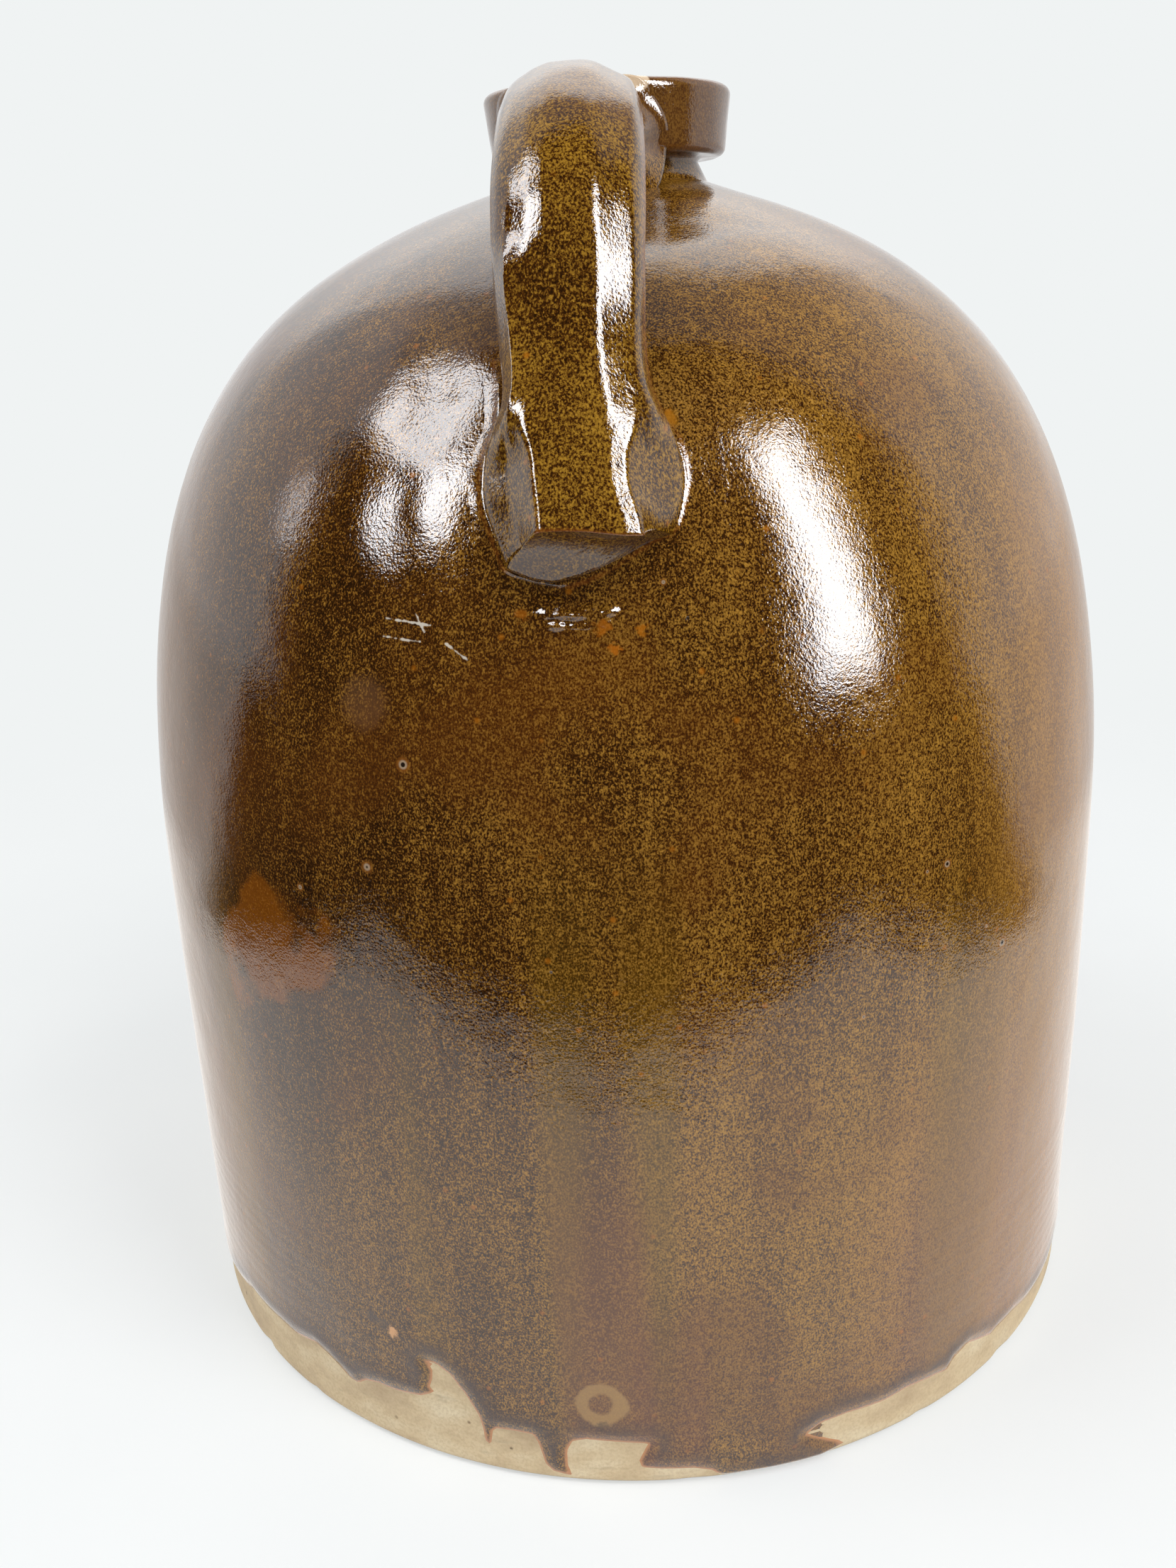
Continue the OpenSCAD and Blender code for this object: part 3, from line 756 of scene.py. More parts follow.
def strap_path():
    """The strap's middle line from inside the neck, over the crown and down to its cut end:
    distances from the axis, heights, and the angles that its outer face looks along."""
    pad_way = curve_ways(DOME_PULLS, PAD_SHARE)
    pad_lean = math.atan2(-pad_way[0], pad_way[1])
    pad_out = np.array([math.cos(pad_lean), math.sin(pad_lean)])
    pad_down = np.array([math.sin(pad_lean), -math.cos(pad_lean)])
    pad_middle = curve_points(DOME_PULLS, PAD_SHARE) + (STRAP_THICKNESS / 2 - BED_DEPTH) * pad_out
    crown_bend = CROWN_BEND_SHARE * (pad_middle[0] - NECK_RADIUS)
    crown_height = RIM_HEIGHT + CROWN_RISE - STRAP_THICKNESS / 2 - crown_bend
    back_fall = crown_height + crown_bend * math.sin(BACK_LEAN) - pad_middle[1]
    straight_fall = STRAIGHT_SHARE * back_fall
    pad_start = pad_middle + straight_fall * np.array([-math.tan(pad_lean), 1])
    crown_reach = (pad_start[0] - crown_bend * math.cos(BACK_LEAN)
                   - (back_fall - straight_fall) * math.tan((BACK_LEAN + pad_lean) / 2))
    centre = np.array([crown_reach, crown_height])
    crown_start = math.pi / 2 + ROOT_SLOPE
    crown_angles = np.linspace(crown_start, BACK_LEAN, 70)
    crown = arc_points(centre, crown_bend, crown_angles)
    root_way = np.array([-math.sin(crown_start), math.cos(crown_start)])
    root_length = (crown[0, 0] - NECK_RADIUS + COAT) / math.cos(ROOT_SLOPE)
    root = crown[0] + np.linspace(root_length, 0, 22)[:-1, None] * root_way
    root_angles = np.full(len(root), crown_start)
    pull = np.linalg.norm(pad_start - crown[-1]) / 3
    back_pulls = np.array([crown[-1],
                           crown[-1] + pull * np.array([math.sin(BACK_LEAN), -math.cos(BACK_LEAN)]),
                           pad_start - pull * pad_down, pad_start])
    shares = np.linspace(0, 1, 16)[1:]
    back = curve_points(back_pulls, shares)
    back_ways = curve_ways(back_pulls, shares)
    back_angles = np.arctan2(back_ways[:, 0], -back_ways[:, 1])
    run_length = np.linalg.norm(pad_middle - pad_start) + END_LENGTH
    run = pad_start + np.linspace(0, run_length, 58)[1:, None] * pad_down
    run_angles = np.full(len(run), pad_lean)
    places = np.concatenate([root, crown, back, run])
    angles = np.concatenate([root_angles, crown_angles, back_angles, run_angles])
    middle = (crown_reach + pad_middle[0]) / 2
    return places, angles, middle


def skewed(points, middle):
    """Points of the handle turned a little off the radial line, about its own middle."""
    moved = points.copy()
    across = points[..., 0]
    back = points[..., 1] + middle
    moved[..., 0] = math.cos(STRAP_SKEW) * across - math.sin(STRAP_SKEW) * back
    moved[..., 1] = math.sin(STRAP_SKEW) * across + math.cos(STRAP_SKEW) * back - middle
    return moved


def soft_line(keys, values, where, blur):
    """A line through key values with rounded corners: straight stretches averaged over a bell
    of the given width."""
    fine = np.linspace(keys[0] - 3 * blur, keys[-1] + 3 * blur, 900)
    drawn = np.interp(fine, keys, values)
    step = fine[1] - fine[0]
    half = int(3 * blur / step)
    bell = hump(np.arange(-half, half + 1) * step, 0, blur)
    padded = np.pad(drawn, half, mode="edge")
    return np.interp(where, fine, np.convolve(padded, bell / bell.sum(), mode="valid"))


def press_left(down):
    """How far the strap's foot reaches to the left of its middle, in metres."""
    return soft_line(PRESS_DOWN, PRESS_LEFT, down / MM, 1.2) * MM


def press_right(down):
    """How far the strap's foot reaches to the right of its middle, in metres."""
    return soft_line(PRESS_DOWN, PRESS_RIGHT, down / MM, 1.2) * MM


def cut_top(across):
    """Where the cut starts in the strap's face, down from the middle of its foot, in metres."""
    return soft_line(CUT_TOP_ACROSS, CUT_TOP_DOWN, across / MM, 0.8) * MM


def cut_low(across):
    """Where the cut meets the shoulder, down from the middle of the strap's foot, in metres."""
    return soft_line(CUT_LOW_ACROSS, CUT_LOW_DOWN, across / MM, 0.8) * MM


def cut_down(across, high):
    """Where the wire cut lies, down from the middle of the strap's foot, at a length across
    and a height over the strap's underside: a hollow between its upper and lower edges, which
    runs out towards the lower edge at the same slope all along."""
    depth = 1 - np.clip((high - BED_DEPTH) / (STRAP_THICKNESS - BED_DEPTH), 0, 1)
    top, low = cut_top(across), cut_low(across)
    hollow = np.clip(11.5 * MM - (low - top), 0, 7 * MM)
    return top + (low - top - hollow) * depth + hollow * depth ** 2


def strap_sections(run, down):
    """Sections of the strap, as lengths across and heights over its underside, from the run
    along it and each point's own length down its foot. It starts as a low roof over a shallow
    oval, gets a steep left side below the crown, spreads to the foot's outline, and turns
    into the pressed foot: a flat top with sloped, hollow sides."""
    over = np.linspace(0, 1, STRAP_OVER)
    turn = np.radians(np.interp(over, OVER_SHARES, OVER_TURNS))
    under = np.linspace(0, math.pi, STRAP_UNDER + 2)[1:-1]
    half = soft_line(STRAP_RUN, STRAP_HALF, run / MM, 3)[:, None] * MM
    shift = soft_line(STRAP_RUN, STRAP_SHIFT, run / MM, 3)[:, None] * MM
    left, right = press_left(down), press_right(down)
    widen = smooth_step(-27 * MM, -16 * MM, down)
    left_half = (half - shift) * (1 - widen) + left * widen + shift
    right_half = (half + shift) * (1 - widen) + right * widen - shift
    sides = np.concatenate([np.sin(turn), np.cos(under)])
    oval_across = shift + sides * np.where(sides < 0, left_half, right_half)
    roof = soft_line(ROOF_ACROSS, ROOF_HIGH, np.sin(turn), 0.055) * MM
    flank = soft_line(FLANK_ACROSS, FLANK_HIGH, np.sin(turn), 0.003) * MM
    change = smooth_step(80 * MM, 88 * MM, run)[:, None] * (turn < 0)[None]
    oval_top = roof * (1 - change) + flank * change
    oval_low = STRAP_SPRING * (1 - np.sin(under) ** 0.7)
    oval_high = np.concatenate([oval_top, np.repeat(oval_low[None], len(run), axis=0)], axis=1)
    pressed_across, pressed_high = pressed_section(over, under, down, left, right)
    press = smooth_step(-17 * MM, -4 * MM, down)
    across = oval_across * (1 - press) + pressed_across * press
    high = oval_high * (1 - press) + pressed_high * press
    return across, high, press


def pressed_section(over, under, down, left, right):
    """The pressed foot's section, as lengths across and heights over its underside: soft
    lines through points from its left edge over a crease and a ridge to its right edge, and
    an underside that is a little hollow."""
    crease = -(9.3 * MM - 0.7 * MM * smooth_step(-7 * MM, 8 * MM, down))
    ridge = 7.8 * MM + 2.2 * MM * smooth_step(-2 * MM, 10 * MM, down)
    keys = [-left, -left + 0.5 * MM, -0.45 * left + 0.55 * crease, crease, crease + 0.9 * MM,
            np.full_like(crease, 0.2 * MM), ridge - 3.2 * MM, ridge, 0.52 * right + 0.48 * ridge,
            right - 0.5 * MM, right]
    share = np.stack([soft_line(PRESS_OVER, np.eye(len(keys))[number], over, 0.012)
                      for number in range(len(keys))])
    over_count = len(over)
    top_across = sum(key[:, :over_count] * share[number] for number, key in enumerate(keys))
    top_high = np.array(PRESS_HIGH) * MM @ share
    back = (1 - np.cos(under)) / 2
    low_across = right[:, over_count:] * (1 - back) - left[:, over_count:] * back
    low_high = 0.4 * MM * (1 - np.sin(under))
    return (np.concatenate([top_across, low_across], axis=1),
            np.concatenate([top_high, low_high]))


def make_strap_handle():
    """The pulled strap as a section carried along its path, pressed out at its foot and cut
    off by a wire. The cut needs the section and the section needs each row's length down to
    the cut, so both are worked out in three rounds."""
    around = STRAP_OVER + STRAP_UNDER
    places, angles, middle = strap_path()
    run = np.concatenate([[0], np.cumsum(np.linalg.norm(np.diff(places, axis=0), axis=1))])
    row_down = run - run[-1] + END_LENGTH
    first = DRAWN_LENGTH - END_LENGTH
    share = np.clip((row_down + first) / DRAWN_LENGTH, 0, 1)[:, None]
    down = np.repeat(row_down[:, None], around, axis=1)
    for _ in range(3):
        across, high, press = strap_sections(run, down)
        end = cut_down(across, high)
        down = np.where(share > 0, -first + share * (end + first), row_down[:, None])
    facing = np.stack([np.cos(angles), np.sin(angles)], axis=1)
    sinking = np.stack([np.sin(angles), -np.cos(angles)], axis=1)
    flat = (places[:, None] + (high - STRAP_THICKNESS / 2)[..., None] * facing[:, None]
            + (down - row_down[:, None])[..., None] * sinking[:, None])
    points = np.stack([across, -flat[..., 0], flat[..., 1]], axis=-1)
    over = np.zeros(around)
    over[:STRAP_OVER] = np.linspace(0, 1, STRAP_OVER)
    move = strap_stray(points, run, over, high, facing) * (1 - 0.4 * press)[..., None]
    foot = places[-1] - END_LENGTH * sinking[-1]
    ends = [cut_ring(inward, across[-1], high[-1], foot, facing[-1], sinking[-1])
            + inward * move[-1] for inward in CUT_RINGS]
    rows = skewed(np.concatenate([points + move, np.stack(ends)]), middle)
    count = len(run)
    wear = np.zeros(rows.shape[:2])
    edge = smooth_step(0.26, 0.33, over) * (1 - smooth_step(0.76, 0.84, over))
    wear[count - 1:count + 1] = 0.9 * edge
    wear[count - 2] = 0.3 * edge
    wear[:count] += 0.4 * press * hump(over, 0.315, 0.015)[None]
    wear[:count] += 0.6 * (1 - press) * smooth_step(0.84, 0.95, over)[None]
    # The cut face gets a deeper glaze depth, which the material tints slate as painted shade on the
    # cut
    depth = np.ones(rows.shape[:2])
    depth[count + 1:] = CUT_SHADE_DEPTH
    piece = capped_tube("strap_handle", rows, row_middles(rows), flip=True)
    store(piece, "wear", np.append(wear, [0, 0.1]))
    store(piece, "glaze_depth", np.append(depth, [1, CUT_SHADE_DEPTH]))
    return piece


def strap_stray(points, run, over, high, facing):
    """How far the strap's surface moves from its even section: soft lumps all over, small
    knobs on the right edge low down, and a little inwards so that it stays in its solid."""
    lumps = (0.09 * hand_waves(points, 0.032, 21) + 0.05 * hand_waves(points, 0.012, 22)) * MM
    knobs = 0.11 * MM * hand_waves(points, 0.009, 24) * hump(over, 0.74, 0.09)
    lumps = lumps + knobs * smooth_step(98 * MM, 108 * MM, run)[:, None]
    sunk = (0.32 - 0.12 * smooth_step(50 * MM, 80 * MM, run))[:, None] * MM
    lift = (high / STRAP_THICKNESS * 2 - 1)[..., None]
    outward = unit(np.concatenate([points[..., :1] / (14 * MM), -facing[:, None, :1] * lift,
                                   facing[:, None, 1:] * lift], axis=-1))
    return (lumps - sunk)[..., None] * outward


def cut_ring(inward, across, high, foot, facing, sinking):
    """One ring of the cut face: the strap's last section drawn towards a point in its middle
    and laid on the cut, with a slight ripple that grows inwards."""
    ring_across = CUT_MIDDLE_ACROSS + inward * (across - CUT_MIDDLE_ACROSS)
    ring_high = CUT_MIDDLE_HIGH + inward * (high - CUT_MIDDLE_HIGH)
    flat = (foot + (ring_high - STRAP_THICKNESS / 2)[:, None] * facing
            + cut_down(ring_across, ring_high)[:, None] * sinking)
    ring = np.stack([ring_across, -flat[:, 0], flat[:, 1]], axis=-1)
    ring[:, 2] += 0.12 * MM * hand_waves(ring, 0.006, 23) * (1 - inward)
    return ring


def dome_surface(across, down, middle):
    """Points of the glazed dome, and its outward directions, near the pressed end of the
    strap: across is measured round the jug and down along the dome, both from the middle of
    the pressed end and turned with the strap."""
    turned_across = math.cos(STRAP_SKEW) * across + math.sin(STRAP_SKEW) * down
    turned_down = math.cos(STRAP_SKEW) * down - math.sin(STRAP_SKEW) * across
    shares = np.linspace(0, 1, 1200)
    line = curve_points(DOME_PULLS, shares)
    lengths = np.concatenate([[0], np.cumsum(np.linalg.norm(np.diff(line, axis=0), axis=1))])
    start = np.interp(PAD_SHARE, shares, lengths)
    wanted = start - turned_down
    below = np.minimum(wanted, 0)
    share = np.interp(wanted, lengths, shares)
    place = curve_points(DOME_PULLS, share)
    way = curve_ways(DOME_PULLS, share)
    pad_radius = curve_points(DOME_PULLS, PAD_SHARE)[0]
    shift = (pad_radius - middle) * math.sin(STRAP_SKEW)
    angle = (turned_across + shift) / place[..., 0]
    spin = np.stack([np.sin(angle), -np.cos(angle)], axis=-1)
    points = np.concatenate([place[..., :1] * spin, (place[..., 1] + below)[..., None]], axis=-1)
    outward = np.concatenate([way[..., 1:] * spin, -way[..., :1]], axis=-1)
    return points, outward


def pressed_rise(across, down):
    """How far the pressed clay stands over the dome, in millimetres, and its distance from
    the foot's outline. A fillet rises in a straight line towards the outline from a soft bend
    beside it: its slope times the logarithm of one plus e to the distance over the bend's
    width. A swell and a groove lie round it, a fold at the cut's left corner, and a lumpy
    ripple below the cut."""
    beside = np.where(across > 0, across - press_right(down), -across - press_left(down))
    beyond = down - cut_low(across)
    outside = np.hypot(np.maximum(beside, 0), np.maximum(beyond, 0))
    gap = np.where(outside > 0, outside, -np.maximum(beside, beyond) * 0.6)
    below = smooth_step(-0.5 * MM, 1.5 * MM, beyond)
    on_right = smooth_step(-6 * MM, 6 * MM, across)
    slope = 0.17 + 0.10 * on_right - 0.05 * below
    bend = (1.5 - 1.2 * on_right) * MM
    rise = slope * np.log1p(np.exp(np.clip((bend - gap) / (0.5 * MM), -30, 30)))
    rise += 0.25 * (1 - below) * np.exp(-np.maximum(gap, 0) / (4 * MM))
    rise -= 0.32 * (1 - on_right) * (1 - below) * hump(gap, 4.8 * MM, 2.0 * MM)
    rise *= smooth_step(-31 * MM, -16 * MM, down)
    fold = beyond - 0.9 * MM
    rise -= 1.3 * hump(across, -10 * MM, 4.5 * MM) * hump(fold, 0, 0.8 * MM)
    rise += 0.5 * hump(across, -8 * MM, 4 * MM) * hump(fold, 3.0 * MM, 1.6 * MM)
    small = hand_waves(np.stack([across, down, 0 * down], axis=-1), 0.0026, 32)
    broad = hand_waves(np.stack([across, 2.5 * down, 0 * down], axis=-1), 0.0055, 33)
    ripple = (0.85 * hump(down, 20.4 * MM, 2.0 * MM) - 0.55 * hump(down, 25 * MM, 3 * MM)
              + (0.35 * small + 0.6 * broad) * hump(down, 20.8 * MM, 2.0 * MM))
    return rise + ripple * hump(across, -2.5 * MM, 8.5 * MM), gap


def make_pressed_clay():
    """The clay drawn into the corner round the strap's foot: a patch of the dome's own
    surface, raised and sunk again at its rim, with a base inside the shoulder."""
    middle = strap_path()[2]
    count = PATCH_POINTS
    across, down = np.meshgrid(np.linspace(-PATCH_SIDE, PATCH_SIDE, count),
                               np.linspace(-PATCH_UP, PATCH_DOWN, count), indexing="xy")
    rise, gap = pressed_rise(across, down)
    half_high = (PATCH_UP + PATCH_DOWN) / 2
    rim = np.maximum(np.abs(across) / PATCH_SIDE,
                     np.abs(down + (PATCH_UP - PATCH_DOWN) / 2) / half_high)
    rise = rise * (1 - smooth_step(0.66, 0.93, rim)) - 0.25 * smooth_step(0.8, 1.0, rim)
    places, outward = dome_surface(across, down, middle)
    top = places + (rise * MM + body_unevenness(places))[..., None] * outward
    base = places - 1.5 * MM * outward
    points = np.concatenate([top.reshape(-1, 3), base.reshape(-1, 3)])
    square = np.arange(count * count).reshape(count, count)
    cells = np.stack([square[:-1, :-1], square[1:, :-1], square[1:, 1:], square[:-1, 1:]],
                     axis=-1).reshape(-1, 4)
    ring = np.concatenate([square[0, :-1], square[:-1, -1], square[-1, :0:-1], square[:0:-1, 0]])
    after = np.roll(ring, -1)
    low = count * count
    skirt = np.stack([ring, after, after + low, ring + low], axis=1)
    faces = np.concatenate([cells, cells[:, ::-1] + low, skirt])
    piece = mesh_piece("pressed_clay", points, faces.tolist())
    corner = 0.5 * hump(gap, 0.9 * MM, 0.7 * MM)
    store(piece, "wear", np.append(corner, corner))
    store(piece, "glaze_depth", np.ones(len(points)))
    return piece


def closed_spline(keys, shares):
    """A smooth closed line through key points, evenly shared round it: each stretch is a
    cubic that leaves every key along the line between its neighbours."""
    keys = np.asarray(keys, dtype=float)
    count = len(keys)
    place = shares * count
    low = np.floor(place).astype(int) % count
    t = (place - np.floor(place))[:, None]
    before, here = keys[(low - 1) % count], keys[low]
    after, beyond = keys[(low + 1) % count], keys[(low + 2) % count]
    return 0.5 * (2 * here + (after - before) * t
                  + (2 * before - 5 * here + 4 * after - beyond) * t ** 2
                  + (3 * here - before - 3 * after + beyond) * t ** 3)


def make_lip_joint():
    """The clay smeared from the strap's root onto the lip, the neck and the shoulder: lines
    leave the strap along its run and arrive along the surface that they land on."""
    around = 128
    places, angles, middle = strap_path()
    turn = np.linspace(0, 2 * math.pi, around, endpoint=False)
    start_row = int(np.argmin(np.abs(places[:40, 0] - 36 * MM)))
    facing = np.array([math.cos(angles[start_row]), math.sin(angles[start_row])])
    spot = places[start_row]
    wide = np.sin(turn)
    high = np.where(np.cos(turn) > 0, soft_line(ROOF_ACROSS, ROOF_HIGH, wide, 0.035) * MM,
                    STRAP_SPRING * (1 - np.abs(np.cos(turn)) ** 0.7))
    high = (high - STRAP_THICKNESS / 2 - 0.4 * MM) * 0.97
    starts = np.stack([(STRAP_HALF[0] - 0.25) * MM * wide + STRAP_SHIFT[0] * MM,
                       -(spot[0] + high * facing[0]), spot[1] + high * facing[1]], axis=1)
    starts = skewed(starts, middle)
    root_way = unit(np.array([-math.sin(STRAP_SKEW), math.cos(STRAP_SKEW),
                              -facing[0] / facing[1]]))
    landing = [landing_point(*key) for key in LIP_JOINT_RIGHT]
    landing += [shoulder_point(*key) for key in LIP_JOINT_LOW]
    landing += [landing_point(*key) for key in LIP_JOINT_LEFT]
    spread = np.interp(turn / (2 * math.pi), np.append(LIP_JOINT_TURNS, 1.0),
                       np.arange(len(landing) + 1) / len(landing))
    ends = closed_spline(np.array(landing), spread)
    on_lip = smooth_step(LIP_BASE - 2 * MM, LIP_BASE + 1 * MM, ends[:, 2])[:, None]
    radial = unit((ends - [LIP_SHIFT, 0, 0]) * [1, 1, 0])
    upward = unit(radial * on_lip + (1 - on_lip) * (radial * 0.3 + np.array([0, 0, 0.95])))
    towards = starts - ends
    along = towards - (towards * upward).sum(axis=1, keepdims=True) * upward
    second = starts + 4.5 * MM * root_way
    third = ends + 0.62 * along
    shares = np.linspace(0, 1, 34)[:, None, None]
    points = ((1 - shares) ** 3 * starts + 3 * (1 - shares) ** 2 * shares * second
              + 3 * (1 - shares) * shares ** 2 * third + shares ** 3 * ends)
    bulge = np.sin(math.pi * shares) ** 2
    swell = bulge * (1.1 * hump(turn, 1.75, 0.30) - 1.5 * hump(turn, 2.35, 0.30))[None, :, None]
    rough = 0.15 * hand_waves(points, 0.011, 31)[..., None]
    points = points + (swell + rough) * MM * upward
    points[..., 2] = np.minimum(points[..., 2], RIM_HEIGHT + 0.45 * MM)
    piece = capped_tube("lip_joint", points, row_middles(points))
    total = len(points) * around + 2
    store(piece, "wear", np.full(total, 0.1))
    store(piece, "glaze_depth", np.ones(total))
    return piece


def landing_point(across, height):
    """A point just under the lip's outside, from millimetres to the right and a height."""
    radius = (27.5 if height > 273 else 26.4) * MM
    side = across * MM - LIP_SHIFT
    return [across * MM, -math.sqrt(radius ** 2 - side ** 2), height * MM]


def shoulder_point(across, away):
    """A point just under the shoulder's glaze, from millimetres to the right and to -Y."""
    return [across * MM, -away * MM, float(dome_height(math.hypot(across, away) * MM)) - 0.5 * MM]


class Web:
    """A material's or world's nodes, added and joined in short calls."""

    def __init__(self, tree):
        self.tree = tree
        tree.nodes.clear()

    def add(self, kind, inputs=None, **settings):
        """A new node with its settings, and its inputs set to numbers or joined to outputs."""
        made = self.tree.nodes.new(kind)
        for name, value in settings.items():
            setattr(made, name, value)
        for name, value in (inputs or {}).items():
            socket = made.inputs[name]
            if isinstance(value, bpy.types.NodeSocket):
                self.tree.links.new(value, socket)
            else:
                socket.default_value = value
        return made

    def math(self, operation, first, second=0.0, clamp=False):
        """The result of one sum on two numbers."""
        return self.add("ShaderNodeMath", {0: first, 1: second}, operation=operation,
                        use_clamp=clamp).outputs[0]

    def blend(self, share, first, second):
        """A mix of two colours by a share."""
        made = self.add("ShaderNodeMix", {0: share, 6: first, 7: second}, data_type="RGBA")
        return made.outputs[2]

    def ramp(self, value, stops):
        """A colour ramp through stops of a place and a colour."""
        made = self.add("ShaderNodeValToRGB", {0: value})
        bar = made.color_ramp
        while len(bar.elements) < len(stops):
            bar.elements.new(0.5)
        for mark, (place, colour) in zip(bar.elements, stops):
            mark.position = place
            mark.color = colour
        return made.outputs[0]

    def span(self, value, low, high, to_low=0.0, to_high=1.0):
        """A number taken from one range smoothly to another."""
        made = self.add("ShaderNodeMapRange", {0: value, 1: low, 2: high, 3: to_low, 4: to_high},
                        interpolation_type="SMOOTHSTEP")
        return made.outputs[0]

    def noise(self, where, scale, detail=2.0, rough=0.5):
        """Cloudy noise at a scale in cells a metre."""
        made = self.add("ShaderNodeTexNoise", {"Vector": where, "Scale": scale, "Detail": detail,
                                               "Roughness": rough})
        return made.outputs["Fac"]

    def swing(self, noise, reach):
        """How far a noise lies over or under its middle, times a reach."""
        return self.math("MULTIPLY", self.math("SUBTRACT", noise, 0.5), reach)

    def stretched(self, where, share):
        """Coordinates whose height is scaled by a share."""
        made = self.add("ShaderNodeMapping", {"Vector": where, "Scale": (1, 1, share)})
        return made.outputs[0]

    def bump(self, height, distance, below=None):
        """A surface direction tilted by a height field, over an earlier bump if there is one."""
        inputs = {"Strength": 1.0, "Distance": distance, "Height": height}
        if below:
            inputs["Normal"] = below
        return self.add("ShaderNodeBump", inputs).outputs[0]

    def dots(self, where, scale, reach, channel, chosen):
        """Round dots about scattered points. reach holds the distances where a dot ends and
        where it is full. chosen holds the limits between which a channel of a point's own
        random colour brings its dot in."""
        cells = self.add("ShaderNodeTexVoronoi", {"Vector": where, "Scale": scale})
        shade = self.add("ShaderNodeSeparateColor", {0: cells.outputs["Color"]})
        return self.math("MULTIPLY", self.span(cells.outputs["Distance"], *reach),
                         self.span(shade.outputs[channel], *chosen))

    def away(self, where, place):
        """Distance of a point from a place."""
        made = self.add("ShaderNodeVectorMath", {0: where, 1: place}, operation="DISTANCE")
        return made.outputs["Value"]


def new_material(name):
    """An empty material with nodes."""
    material = bpy.data.materials.new(name)
    material.use_nodes = True
    return material, Web(material.node_tree)


# Heights where the glaze's lighter low zone starts and where it is full
LOW_ZONE = (0.125, 0.06)


def glaze_level(web, where, grain, clumps, olive):
    """How light the glaze is: fine grain and clumps, shifted by runs and clouds, and lighter in the
    low zone. It is also painted lighter to the right and high on the dome: painted light for the
    window on the jug's right and for the light from above. Where the flecks lean to olive it is a
    little lighter all over, but darker at the heights of the handle's middle."""
    runs = web.noise(web.stretched(where, 0.1), 85, 3.0, 0.55)
    parts = web.add("ShaderNodeSeparateXYZ", {0: where})
    side, height = parts.outputs[0], parts.outputs[2]
    mixed = web.math("ADD", web.math("MULTIPLY", grain, 0.84), web.math("MULTIPLY", clumps, 0.16))
    shift = web.math("ADD", web.swing(runs, 0.17), web.swing(web.noise(where, 13), 0.13))
    # Lighter to the right is painted light, for the window light on the jug's right side
    slope = web.span(height, *LOW_ZONE, 0.7, 0.45)
    shift = web.math("ADD", shift, web.math("MULTIPLY", side, slope))
    shift = web.math("ADD", shift, web.span(height, *LOW_ZONE, 0.0, 0.04))
    # Lighter high on the dome is painted light, for the light from above
    shift = web.math("ADD", shift, web.span(height, 0.17, 0.21, 0.0, 0.016))
    if olive:
        middle_part = web.math("MULTIPLY", web.span(height, 0.272, 0.260),
                               web.span(height, 0.230, 0.240))
        shift = web.math("ADD", shift, web.math("MULTIPLY", middle_part, -0.035))
    return web.math("ADD", web.math("ADD", mixed, shift), -0.008 if olive else -0.028)


def glaze_zones(web, where, colour):
    """The glaze's broad tints: rusty clouds, a red streak and a red right side near the foot,
    grey at its left, gold bands, and sides painted lighter: painted light and reflection of the
    white walls beside the jug."""
    parts = web.add("ShaderNodeSeparateXYZ", {0: where})
    side, front, height = parts.outputs[0], parts.outputs[1], parts.outputs[2]
    rusty = web.span(web.noise(where, 24), 0.50, 0.72, 0.0, 0.4)
    colour = web.blend(rusty, colour, linear(92, 48, 8))
    bands = web.noise(web.stretched(where, 0.06), 30)
    turn = web.math("ADD", web.math("ARCTAN2", side, web.math("MULTIPLY", front, -1.0)),
                    web.swing(bands, 0.5))
    near_foot = web.span(height, 0.105, 0.045)
    streak = web.span(web.math("ABSOLUTE", web.math("SUBTRACT", turn, 0.06)), 0.12, 0.05)
    red = web.math("MAXIMUM", web.span(turn, 0.40, 0.75), streak)
    red = web.math("MULTIPLY", web.math("MULTIPLY", red, near_foot), 0.38)
    colour = web.blend(red, colour, linear(112, 58, 46))
    slate = web.math("MULTIPLY", web.math("MULTIPLY", web.span(turn, -0.45, -0.85), near_foot), 0.4)
    colour = web.blend(slate, colour, linear(86, 64, 54))
    gold = web.math("MULTIPLY", web.span(bands, 0.54, 0.66), web.span(height, 0.16, 0.09))
    colour = web.blend(web.math("MULTIPLY", gold, 0.35), colour, linear(112, 84, 14))
    # The lighter sides are painted light: a painted glow and reflection of the white walls beside
    # the jug
    sides = web.math("MULTIPLY", web.span(web.math("ABSOLUTE", side), 0.066, 0.112), 0.5)
    return web.blend(sides, colour, linear(166, 112, 42))


